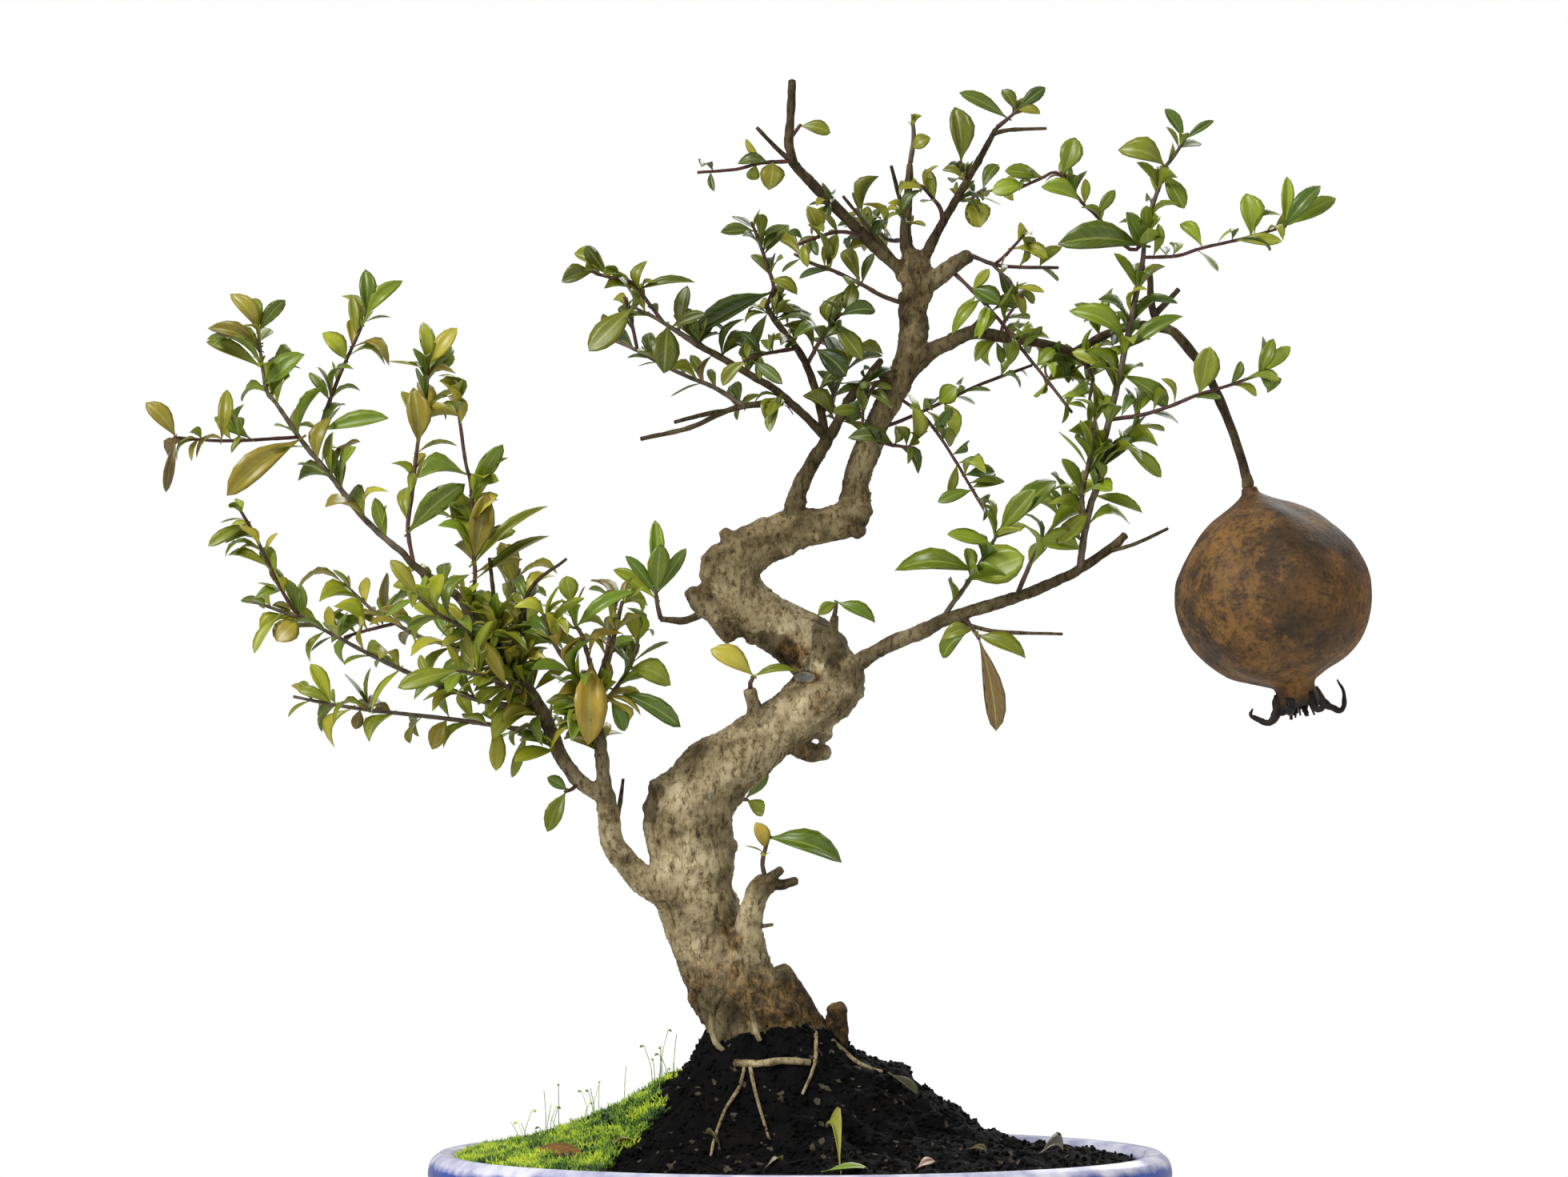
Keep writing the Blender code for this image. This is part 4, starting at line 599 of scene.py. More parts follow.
# Each shoot: how far its first stem starts from the wood's centreline, its stems,
# and single leaves as (foot, tip, width in mm, depth of the tip against the foot).
shoots = {
    "shoot_left_top": (1, [
        stem([(505, 692), (478, 670), (446, 638), (415, 597), (377, 551), (345, 504), (333, 488),
            (325, 435), (323, 412)],
             (-10, -4), (1.1, 0.5), 5, 15),
        stem([(371, 549), (281, 553), (216, 548)], (-6, -20), (0.6, 0.5), 1, 12),
        stem([(396, 572), (402, 534), (423, 475), (446, 423), (459, 393)], (-6, 4), (0.7, 0.5), 2, 12),
    ], [
        ((323, 412), (290, 367), 4.6, -3), ((323, 413), (314, 372), 4, 3),
        ((323, 412), (356, 375), 4.6, -2),
        ((325, 440), (262, 408), 4.6, -4), ((329, 462), (258, 430), 4.4, 4),
        ((331, 482), (380, 443), 9, -4),
        ((281, 553), (284, 487), 5, 0), ((218, 548), (183, 503), 5.4, -2), ((217, 548), (207, 616), 3.6, 0),
        ((377, 551), (283, 618), 8.6, -6), ((405, 540), (487, 525), 7, -3), ((434, 452), (406, 415), 6, -2),
        ((459, 393), (457, 337), 5, 0), ((457, 397), (500, 350), 4.6, -2), ((446, 423), (440, 370), 4.2, 3),
    ]),
    "shoot_left_mid": (1, [
        stem(
            [(517, 706), (510, 660), (515, 620), (522, 557), (532, 502), (536, 454)],
            (-11, -18), (0.75, 0.5), 2, 13),
    ], [
        ((509, 668), (580, 605), 6.4, -8), ((522, 557), (517, 485), 6.6, -3),
        ((536, 455), (530, 402), 5, 0),
        ((536, 456), (571, 410), 6, -2), ((529, 515), (480, 464), 4.4, -3),
        ((534, 470), (568, 446), 4.6, 4),
    ]),
    "shoot_left_inner": (1.6, [
        stem([(590, 776), (594, 720), (592, 690), (589, 611), (582, 578), (574, 521), (568, 488)],
             (-13, -24), (0.75, 0.5), 2, 15),
    ], [
        ((589, 625), (628, 556), 5.6, -4), ((592, 700), (608, 616), 8.2, -5),
        ((592, 705), (682, 631), 4.8, -2),
        ((592, 702), (570, 618), 8, 5), ((593, 725), (686, 669), 4, 4), ((590, 650), (524, 604), 5, -4),
    ]),
    "shoot_left_second": (2, [
        stem([(668, 878), (640, 882), (595, 874), (513, 842), (460, 817), (385, 778), (312, 750)],
             (-13, -34), (1.1, 0.5), 4, 14),
        stem(
            [(388, 780), (367, 762), (346, 727), (329, 691), (314, 661), (295, 630)],
            (-30, -40), (0.65, 0.5), 3, 11),
    ], [
        ((380, 775), (346, 802), 9, -4), ((314, 661), (260, 683), 4, -3), ((340, 715), (284, 690), 4.4, 2),
        ((320, 752), (352, 735), 4.6, 3), ((360, 765), (310, 748), 4, 0),
    ]),
    "shoot_left_low": (2, [
        stem([(684, 925), (654, 913), (605, 905), (562, 899), (507, 893), (454, 887), (401, 878),
            (367, 871)],
             (-11, 6), (0.9, 0.5), 3, 12),
    ], [
        ((625, 908), (620, 964), 5.6, -3), ((560, 899), (540, 937), 5, -2), ((450, 887), (444, 912), 4, 0),
        ((660, 915), (640, 972), 3.4, 4), ((415, 880), (372, 862), 3.4, 0),
    ]),
    "shoot_left_third": (1.9, [
        stem([(624, 822), (590, 812), (532, 799), (507, 787), (483, 772), (467, 764), (429, 729)],
             (-13, 14), (0.9, 0.5), 4, 15),
        stem([(494, 780), (460, 788), (430, 797)], (0, 6), (0.6, 0.5), 1, 12),
    ], []),
    "shoot_left_back": (1.9, [
        stem([(644, 843), (640, 800), (638, 760), (650, 712)], (-13, 26), (0.9, 0.5), 3, 16),
    ], []),
    "shoot_left_front": (1.9, [
        stem([(604, 798), (580, 784), (548, 768), (516, 742)], (-13, -40), (0.9, 0.5), 3, 15),
    ], []),
    "shoot_left_under": (2, [
        stem([(664, 868), (640, 862), (606, 846), (570, 838)], (-13, -38), (0.9, 0.5), 3, 17),
    ], [((572, 838), (497, 860), 5.6, -3)]),
    "shoot_centre_orange": (0.6, [
        stem([(743, 848), (737, 827), (727, 794), (718, 778), (712, 752)], (-20, -24), (0.9, 0.5), 1, 15),
    ], [
        ((713, 755), (708, 720), 6, 0), ((722, 784), (790, 738), 6, -4), ((738, 832), (736, 928), 11, -9),
        ((732, 810), (668, 790), 5, -4), ((733, 812), (806, 790), 5.4, 3),
    ]),
    "shoot_centre_right": (1.9, [
        stem([(745, 892), (772, 858), (790, 828), (800, 790)], (-18, -6), (0.9, 0.5), 3, 14),
    ], [((786, 836), (838, 852), 8, -3), ((768, 862), (851, 908), 4.4, -4),
        ((764, 868), (780, 914), 6, 3)]),
    "shoot_centre_left": (1.8, [
        stem([(745, 880), (715, 838), (690, 800), (680, 768)], (-19, -34), (0.9, 0.5), 3, 15),
    ], []),
    "shoot_centre_back": (1.7, [
        stem([(744, 862), (758, 820), (764, 780), (772, 748)], (-19, 8), (0.9, 0.5), 3, 14),
    ], []),
    "shoot_fork_low": (2.6, [
        stem([(724, 976), (716, 986), (706, 990)], (-12, -18), (0.7, 0.5), 0, 12),
    ], [((710, 988), (684, 1040), 5.6, -2), ((712, 987), (684, 972), 4.4, -2)]),
    "shoot_upright": (0.4, [
        stem([(826, 774), (822, 757), (820, 741), (819, 727)], (-4, -6), (0.8, 0.5), 1, 9),
    ], [
        ((820, 742), (826, 680), 7.6, -4), ((819, 732), (818, 651), 4.6, 3),
        ((820, 744), (782, 695), 4, -2),
        ((820, 744), (858, 686), 4, 2), ((821, 750), (766, 714), 3.6, 2),
    ]),
    "shoot_second_trunk": (3, [
        stem([(958, 1102), (953, 1082), (956, 1064), (962, 1043)], (-12, -14), (0.8, 0.6), 0, 12),
    ], [((961, 1046), (1052, 1074), 10, -4), ((957, 1060), (946, 1028), 4.4, -2)]),
    "shoot_trunk_back": (10, [
        stem([(895, 975), (921, 996), (934, 1000)], (0, 16), (0.7, 0.6), 0, 12),
    ], [((934, 1000), (955, 1018), 5.6, 2)]),
    "shoot_stub_left": (0.4, [
        stem([(938, 862), (938, 854), (942, 846)], (-6, -7), (0.8, 0.6), 0, 12),
    ], [((942, 848), (889, 811), 7, -2), ((942, 847), (995, 837), 4, -2)]),
    "shoot_knuckle": (0.4, [
        stem([(1043, 770), (1045, 760), (1046, 752)], (-8, -9), (0.8, 0.5), 0, 10),
    ], [((1045, 762), (1094, 778), 6, -3), ((1046, 754), (1022, 770), 4, -4),
        ((1045, 760), (1062, 796), 4.6, -5)]),
    "shoot_right_first": (2.2, [
        stem(
            [(1177, 777), (1189, 757), (1205, 736), (1222, 710), (1240, 680), (1250, 662)],
            (-4, -16), (0.95, 0.5), 2, 15),
    ], [
        ((1218, 716), (1122, 706), 8, -4), ((1212, 726), (1282, 697), 12, -7),
        ((1250, 662), (1320, 599), 8.6, 2),
        ((1249, 664), (1296, 612), 7, -5), ((1240, 682), (1184, 668), 6, -3),
    ]),
    "shoot_droop_middle": (4, [
        stem([(1112, 492), (1130, 502), (1153, 519), (1174, 545), (1194, 576), (1214, 610), (1232, 640)],
             (6, -6), (0.6, 0.5), 3, 13),
    ], [((1214, 610), (1256, 602), 4, -2), ((1216, 613), (1172, 628), 4.4, -2)]),
    "shoot_right_second": (2, [
        stem(
            [(1270, 747), (1289, 703), (1304, 677), (1327, 644), (1345, 626)],
            (-6, 10), (0.85, 0.5), 2, 15),
    ], []),
    "shoot_right_hanging": (2.2, [
        stem([(1204, 768), (1214, 784), (1224, 799)], (-5, -14), (0.7, 0.6), 0, 14),
    ], [((1224, 799), (1246, 914), 5.6, 0), ((1220, 793), (1282, 822), 8, -4),
        ((1216, 788), (1178, 797), 5, -3)]),
    "shoot_column": (1.8, [
        stem([(1350, 712), (1355, 672), (1363, 633), (1376, 596), (1380, 556), (1388, 520),
            (1399, 472), (1407, 434),
              (1418, 380), (1424, 353)], (-8, -14), (1.2, 0.9), 8, 15),
        stem(
            [(1357, 660), (1352, 620), (1359, 587), (1365, 550), (1370, 518)],
            (-9, -22), (0.9, 0.5), 3, 14),
        stem([(1379, 585), (1399, 564), (1413, 547), (1426, 526)], (-11, -2), (0.6, 0.5), 2, 14),
        stem(
            [(1388, 525), (1428, 519), (1464, 508), (1495, 495), (1537, 482), (1581, 466)],
            (-12, -16), (0.7, 0.5), 1, 12),
    ], [
        ((1495, 495), (1512, 433), 7.4, -2), ((1568, 471), (1592, 424), 5, -2),
        ((1580, 466), (1613, 434), 4.6, 2),
        ((1407, 440), (1478, 395), 6, -4), ((1409, 430), (1340, 386), 6, -4),
        ((1402, 468), (1340, 440), 6, 4),
        ((1403, 556), (1452, 597), 6, 2), ((1363, 640), (1322, 680), 7, -4),
        ((1400, 470), (1460, 508), 5, 3),
        ((1364, 620), (1428, 640), 4.6, -4), ((1352, 705), (1300, 676), 7, -4),
        ((1353, 690), (1380, 640), 7, -5),
    ]),
    "shoot_column_top": (0, [
        stem([(1424, 353), (1428, 332), (1433, 283), (1451, 228), (1455, 212), (1468, 195), (1482, 173)],
             (-14, -8), (0.85, 0.5), 3, 12),
        stem(
            [(1430, 322), (1472, 320), (1504, 310), (1557, 298), (1608, 283)],
            (-14, -10), (0.6, 0.5), 1, 12),
        stem(
            [(1432, 300), (1413, 312), (1367, 266), (1353, 254), (1326, 216)],
            (-13, -18), (0.65, 0.5), 1, 10),
        stem([(1340, 233), (1321, 215), (1302, 223), (1275, 235)], (-17, -19), (0.55, 0.5), 1, 8),
    ], [
        ((1608, 283), (1650, 232), 6.4, -2), ((1606, 283), (1670, 248), 6, 3),
        ((1602, 284), (1608, 221), 3.6, 0),
        ((1560, 297), (1558, 242), 6.4, 0), ((1540, 301), (1603, 303), 3.6, -3),
        ((1326, 217), (1344, 172), 7, 0),
        ((1353, 254), (1302, 233), 4.6, -2), ((1280, 233), (1240, 240), 5.6, 0),
        ((1300, 224), (1256, 214), 5, -3),
        ((1455, 212), (1400, 185), 6.4, -3), ((1453, 220), (1480, 262), 6.4, -3),
        ((1482, 173), (1455, 137), 3.6, 0),
        ((1481, 175), (1518, 152), 3, 0), ((1432, 312), (1324, 303), 8, -9),
        ((1434, 316), (1408, 266), 8, -6),
        ((1436, 310), (1434, 284), 7, -8), ((1500, 311), (1475, 280), 4, 2),
        ((1372, 270), (1394, 238), 3.6, 0),
    ]),
    "shoot_crown_left": (1.4, [
        stem([(990, 202), (952, 204), (920, 212), (872, 216)], (-2, -8), (0.65, 0.5), 0, 10),
    ], [((960, 203), (924, 202), 4.6, -3), ((966, 203), (962, 235), 7, -4),
        ((945, 206), (940, 226), 4, 2)]),
    "shoot_crown_stub": (1.4, [
        stem([(987, 176), (996, 163), (1001, 156)], (-2, -4), (0.6, 0.5), 0, 10),
    ], [((1000, 158), (1038, 166), 4.6, -2)]),
    "shoot_leader_top": (0.4, [
        stem([(1138, 204), (1142, 176), (1141, 150)], (5, 5), (0.9, 0.6), 1, 6.5),
    ], [((1141, 190), (1162, 172), 5, -2)]),
    "shoot_crown_left_front": (1.9, [
        stem([(1082, 296), (1052, 290), (1024, 296), (998, 306)], (3, -14), (0.7, 0.5), 3, 11),
    ], [((1022, 297), (1010, 258), 5, -3)]),
    "shoot_crown_left_low": (5, [
        stem(
            [(1130, 380), (1102, 370), (1079, 357), (1042, 339), (1016, 330), (993, 318)],
            (5, -10), (0.8, 0.5), 3, 13),
    ], [((1066, 352), (1058, 388), 5.4, -4)]),
    "shoot_crown_back": (3, [
        stem([(1132, 300), (1110, 300), (1090, 280), (1070, 262)], (6, 34), (0.8, 0.5), 3, 12),
    ], []),
    "shoot_crown_front": (2.2, [
        stem([(1178, 282), (1176, 262), (1164, 246), (1152, 232)], (3, -12), (0.75, 0.5), 2, 11),
    ], []),
    "shoot_crown_right_back": (1.8, [
        stem([(1196, 250), (1212, 250), (1222, 242), (1232, 236)], (2, 18), (0.7, 0.5), 2, 11),
    ], [((1212, 250), (1226, 284), 7.4, -6)]),
    "shoot_crown_right_up": (1.6, [
        stem([(1212, 222), (1204, 212), (1200, 202)], (1, -4), (0.6, 0.5), 0, 10),
    ], [((1201, 205), (1194, 134), 6.6, -1)]),
    "shoot_crown_right_tip": (0.4, [
        stem([(1246, 160), (1262, 147), (1275, 135)], (0, -1), (0.75, 0.5), 0, 10),
    ], [
        ((1256, 152), (1199, 116), 5, -3), ((1270, 140), (1253, 112), 4, 0),
        ((1275, 136), (1307, 110), 4.4, 0),
        ((1272, 138), (1300, 142), 4, -4), ((1262, 147), (1290, 124), 4, 4),
    ]),
    "shoot_crown_right_mid": (0.4, [
        stem([(1212, 319), (1240, 330), (1267, 334), (1323, 335)], (0, -2), (0.75, 0.5), 1, 12),
        stem([(1240, 330), (1261, 352), (1278, 372)], (-1, -8), (0.55, 0.5), 1, 11),
        stem([(1244, 330), (1258, 318), (1280, 294)], (-1, -6), (0.55, 0.5), 1, 11),
    ], [((1262, 354), (1280, 398), 4, -2)]),
    "shoot_inner_left": (0.6, [
        stem([(871, 431), (852, 418), (833, 406), (814, 395), (789, 383)], (-8, -14), (0.95, 0.5), 1, 13),
        stem(
            [(830, 404), (810, 378), (793, 355), (776, 350), (747, 343), (739, 339)],
            (-11, -18), (0.65, 0.5), 2, 11),
    ], [
        ((745, 342), (702, 352), 5, -3), ((765, 347), (718, 316), 4.4, 3),
        ((800, 364), (868, 352), 4.4, -4),
        ((840, 410), (884, 394), 5, -4), ((836, 408), (830, 466), 8, -6), ((791, 384), (736, 440), 9, -3),
    ]),
    "shoot_inner_top": (0.5, [
        stem([(958, 383), (967, 360), (960, 335), (947, 297), (939, 278)], (2, -2), (0.75, 0.5), 3, 13),
    ], [((962, 376), (866, 418), 6.6, -8), ((944, 290), (900, 292), 4.4, -3),
        ((965, 350), (996, 366), 6, -4)]),
    "shoot_inner_middle": (1.3, [
        stem([(994, 436), (970, 440), (950, 444), (930, 452)], (1, -14), (0.7, 0.5), 3, 13),
    ], []),
    "shoot_inner_right": (1.4, [
        stem([(1008, 458), (1022, 432), (1036, 410), (1052, 392)], (0, -14), (0.75, 0.5), 3, 15),
    ], [((1040, 405), (1078, 450), 6, -4), ((1020, 438), (1058, 470), 8, -5)]),
    "shoot_inner_dark": (1.4, [
        stem(
            [(931, 508), (905, 492), (887, 482), (846, 465), (787, 434), (753, 421)],
            (-2, 14), (0.9, 0.5), 3, 11),
        stem([(797, 440), (787, 393), (780, 372)], (12, 10), (0.6, 0.5), 1, 10),
    ], []),
    "shoot_inner_back": (1.8, [
        stem([(1050, 524), (1040, 500), (1052, 470), (1060, 440)], (-3, 26), (0.75, 0.5), 3, 14),
    ], []),
    "shoot_right_thin": (4.2, [
        stem(
            [(1098, 536), (1127, 526), (1174, 505), (1223, 482), (1290, 457)],
            (6, 16), (0.65, 0.5), 1, 10),
    ], [((1174, 505), (1196, 484), 6, -3), ((1180, 502), (1196, 545), 5, -3)]),
    "shoot_upper_front": (4.3, [
        stem([(1092, 548), (1112, 556), (1140, 560)], (4, -14), (0.7, 0.5), 2, 12),
    ], [((1118, 556), (1062, 545), 4.6, -4)]),
    "shoot_upper_left": (4.4, [
        stem([(1122, 470), (1096, 480), (1080, 508), (1078, 530)], (5, -14), (0.7, 0.5), 2, 13),
    ], []),
    "shoot_droop_right": (2.8, [
        stem(
            [(1188, 338), (1212, 360), (1248, 399), (1275, 434), (1309, 476), (1340, 516)],
            (2, -14), (0.65, 0.5), 4, 12),
    ], [((1212, 360), (1250, 382), 7, -4), ((1296, 458), (1318, 436), 5, 0)]),
    "shoot_middle_up": (1.9, [
        stem([(1250, 421), (1256, 402), (1268, 384)], (-1, 12), (0.7, 0.5), 2, 12),
    ], []),
    "shoot_middle_end": (0.4, [
        stem([(1361, 460), (1366, 476), (1362, 500)], (-6, 4), (0.8, 0.5), 3, 14),
    ], []),
}


def spread(points, depth, radius):  # depth and radius change evenly along the route
    steps = len(points) - 1
    places = [seen(u, v, between(depth, i / steps)) for i, (u, v) in enumerate(points)]
    return places, [between(radius, i / steps) * mm for i in range(steps + 1)]


# Pot, in mm: steps inwards from the lip's outer edge, and heights.
pot = {
    "width": 233, "depth": 180, "centre": 14, "sides": 160,
    "outside": [(22, 6), (18, 9), (9, 42), (6.4, 52), (1.4, 54), (0, 58), (1, 62.8), (4, 65)],
    "inside": [(7.4, 64.6), (9.8, 61), (13, 42), (20, 16), (25, 12)],
    "footAt": (70, 44), "foot": [(0, 0), (7.6, 0), (8.7, 0.5), (9, 1.6), (9.2, 7.4), (0, 7.6)],
    "drain": 9, "drainsApart": 90,
}


def ovalPoint(inset, z, turn):
    a = pot["width"] / 2
    b = pot["depth"] / 2
    outward = Vector((math.cos(turn) / a, math.sin(turn) / b, 0)).normalized()
    edge = Vector((a * math.cos(turn) + pot["centre"], b * math.sin(turn), z))
    return (edge - outward * inset) * mm


def roundCorners(profile):  # cuts each corner twice and keeps the ends
    for _ in range(2):
        cut = [profile[0]]
        for (a, b), (c, d) in zip(profile, profile[1:]):
            cut += [(a * 0.78 + c * 0.22, b * 0.78 + d * 0.22), (a * 0.22 + c * 0.78, b * 0.22 + d * 0.78)]
        profile = cut + [profile[-1]]
    return profile


def addLathe(bm, profile, sides, place):  # radii and heights in mm, turned round local Z
    rings = []
    for radius, height in profile:
        count = 1 if radius == 0 else sides
        turns = [2 * math.pi * k / sides for k in range(count)]
        spots = [(radius * mm * math.cos(turn), radius * mm * math.sin(turn),
                  height * mm) for turn in turns]
        rings.append([bm.verts.new(place @ Vector(spot)) for spot in spots])
    for lower, upper in zip(rings, rings[1:]):
        bridge(bm, lower, upper)


def makePot():
    bm = bmesh.new()
    turns = [2 * math.pi * k / pot["sides"] for k in range(pot["sides"])]
    rings = []
    for inset, z in roundCorners(pot["outside"]) + roundCorners(pot["inside"]):
        rings.append([bm.verts.new(ovalPoint(inset, z, turn)) for turn in turns])
    for lower, upper in zip(rings, rings[1:]):
        bridge(bm, lower, upper)
    bm.faces.new(list(reversed(rings[0])))
    bm.faces.new(rings[-1])
    body = newObject("potBody", meshOf(bm, "potBody"))
    bm = bmesh.new()
    for side in (-1, 1):
        place = Matrix.Translation(((pot["centre"] + side * pot["drainsApart"] / 2) * mm, 0, 9 * mm))
        bmesh.ops.create_cone(bm, cap_ends=True, segments=48, radius1=pot["drain"] * mm,
                              radius2=pot["drain"] * mm, depth=12 * mm, matrix=place)
    drill = newObject("drill", meshOf(bm, "drill"))
    cut = body.modifiers.new("drains", "BOOLEAN")
    cut.operation = "DIFFERENCE"
    cut.object = drill
    cut.solver = "MANIFOLD"
    bm = bmesh.new()
    bm.from_mesh(baked(body))
    bpy.data.objects.remove(drill)
    for sideX in (-1, 1):
        for sideY in (-1, 1):
            x = pot["centre"] + sideX * pot["footAt"][0]
            foot = bmesh.new()
            addLathe(foot, pot["foot"], 40, Matrix.Translation((x * mm, sideY * pot["footAt"][1] * mm, 0)))
            bmesh.ops.recalc_face_normals(foot, faces=foot.faces)
            bm.from_mesh(meshOf(foot, "foot"))
    mesh = meshOf(bm, "glazedPot")
    addPiece("glazed_pot", mesh, ["pot"], cobaltGlaze())
    mesh.set_sharp_from_angle(angle=math.radians(50))


# Soil, in mm: the mound's height over its level at the wall, against the way out to the wall.
soil = {
    "level": 62, "centre": 4, "turns": 216, "rings": 66, "wallGap": 0.36, "bottom": 14.5,
    "bank": 3.2, "bankRises": (80, 96), "bankEnds": (14, 22),  # the bank against the trunk
    "left": [(0, 42), (0.15, 41), (0.2, 33), (0.26, 27), (0.38, 21), (0.52, 13), (0.68, 7), (0.84, 2.5),
             (1, 0)],
    "right": [(0, 42), (0.16, 41), (0.25, 32), (0.36, 28), (0.45, 20), (0.52, 13), (0.6, 8), (0.72, 4),
              (0.87, 1), (1, 0)],
    "front": [(0, 42), (0.18, 40), (0.28, 29), (0.38, 20), (0.5, 12), (0.64, 6.5), (0.82, 2.5), (1, 0)],
    "crumbsPerSquareMetre": 120000.0, "crumb": 1.05,
    "gritPerSquareMetre": 2600.0, "grit": 0.7,
}


def readProfile(profile, share):
    for (a, low), (b, high) in zip(profile, profile[1:]):
        if share <= b:
            return low + (high - low) * (share - a) / (b - a)
    return profile[-1][1]


def soilPoint(share, turn):
    centre = Vector((soil["centre"] * mm, 0, 0))
    wall = ovalPoint(pot["inside"][1][0] + soil["wallGap"], 0, turn)
    point = centre + (wall - centre) * share
    left = max(0, -math.cos(turn)) ** 2
    right = max(0, math.cos(turn)) ** 2
    rise = (left * readProfile(soil["left"], share) + right * readProfile(soil["right"], share)
            + (1 - left - right) * readProfile(soil["front"], share))
    level = Vector((point.x, point.y, 0))
    lump = noise.noise(level / (9 * mm)) + 0.5 * noise.noise(level / (4 * mm))
    point.z = (soil["level"] + rise + 0.8 * lump * fade(1, 0.93, share)) * mm
    return point


def crumble(point):  # how far a clod stands out of the soil there, in mm
    clod = noise.noise(point / (8 * mm)) * 2.8 + noise.noise(point / (3.4 * mm)) * 1.7
    ball = fade(*[z * mm for z in soil["bankRises"]], point.z)
    bank = soil["bank"] * ball * (1 - 0.8 * fade(*[x * mm for x in soil["bankEnds"]], point.x))
    return clod * (1 - 0.35 * ball) + abs(noise.noise(point / (1.4 * mm))) * 0.8 + bank


def mossAt(point):  # 1 under the moss on the left of the mound, 0 elsewhere
    edge = -25 * mm + 0.3 * point.y + 7 * mm * noise.noise(point / (14 * mm))
    return fade(edge + 2 * mm, edge - 3 * mm, point.x)


def makeSoil():
    turns = [2 * math.pi * k / soil["turns"] for k in range(soil["turns"])]
    bm = bmesh.new()
    rows = []
    for r in range(soil["rings"] + 1):
        share = (r / soil["rings"]) ** 0.9
        rows.append([bm.verts.new(soilPoint(share, turn)) for turn in (turns if r else turns[:1])])
    top = []
    for inner, outer in zip(rows, rows[1:]):
        for k in range(len(turns)):
            j = (k + 1) % len(turns)
            corners = [inner[k % len(inner)], outer[k], outer[j], inner[j % len(inner)]]
            top.append(bm.faces.new(list(dict.fromkeys(corners))))
    bm.normal_update()
    moves = []
    for r, row in enumerate(rows):
        settle = fade(soil["rings"], soil["rings"] - 5, r)
        moves += [(v, v.normal * crumble(v.co) * settle * mm) for v in row]
    mossy = [face for face in top if mossAt(face.calc_center_median()) > 0.5]
    mossFaces = [[v.co.copy() for v in face.verts] for face in mossy]
    for vertex, move in moves:
        vertex.co += move
    cover = meshOf(bm.copy(), "soilCover")
    below = rows[-1]
    walls = [p for p in roundCorners(pot["inside"]) if soil["bottom"] < p[1] < 60]
    for inset, z in walls:
        ring = [bm.verts.new(ovalPoint(inset + 0.4, z, turn)) for turn in turns]
        bridge(bm, ring, below)
        below = ring
    bm.faces.new(list(reversed(below)))
    earth = dampSoil()
    addPiece("soil_mound", meshOf(bm, "soilMound"), ["soil"], earth)
    for name, density, size, seed, material in (
            ("soil_crumbs", soil["crumbsPerSquareMetre"], soil["crumb"], 4, earth),
            ("soil_grit", soil["gritPerSquareMetre"], soil["grit"], 9, paleGrit())):
        tree, start = newTree(name, {"Density": density, "Size": size * mm, "Seed": seed})
        spots = addNode(tree, "GeometryNodeDistributePointsOnFaces", links={
            "Mesh": start["Geometry"], "Density": start["Density"], "Seed": start["Seed"]})
        ball = addNode(tree, "GeometryNodeMeshIcoSphere", {"Subdivisions": 1}, {"Radius": start["Size"]})
        size = addNode(tree, "FunctionNodeRandomValue", {
            "data_type": "FLOAT_VECTOR", 0: (0.35, 0.35, 0.3), 1: (1.5, 1.2, 1.1)}, {"Seed": start["Seed"]})
        turn = addNode(tree, "FunctionNodeRandomValue", {
            "data_type": "FLOAT_VECTOR", 0: (0, 0, 0), 1: (6.28, 6.28, 6.28)}, {"Seed": start["Seed"]})
        placed = addNode(tree, "GeometryNodeInstanceOnPoints", links={
            "Points": spots.outputs["Points"], "Instance": ball.outputs["Mesh"],
            "Rotation": turn.outputs[0], "Scale": size.outputs[0]})
        endTree(tree, placed.outputs[0], material)
        addPiece(name, growOn(cover.copy(), tree, {"Density": density}))
    return cover, mossFaces


# Crushed pumice and quartz in the soil: dull off-white grains.
def paleGrit():
    material, tree, surface, place = newMaterial("crushed_pumice_grit")
    tone = addNode(tree, "ShaderNodeTexNoise", {"Scale": 240.0, "Detail": 2.0}, {"Vector": place})
    colour = addNode(tree, "ShaderNodeValToRGB", {"stops": [
        (0.4, "#2C241B"), (0.55, "#5E5443"), (0.7, "#958B78")]}, {"Fac": tone.outputs["Fac"]})
    tree.links.new(colour.outputs[0], surface.inputs["Base Color"])
    surface.inputs["Roughness"].default_value = 0.9
    return material


# Moss, in mm: a cushion over the left of the mound, shoots on it and a few fruiting stalks.
moss = {
    "sunk": 1.5, "lift": 1.1, "shootsPerSquareMetre": 2300000.0, "shootLong": 3.0, "shootWide": 0.55,
    "stalks": 34, "stalkLong": (6, 17), "stalksAt": (650, 690, 740, 786, 820, 835, 848),
}


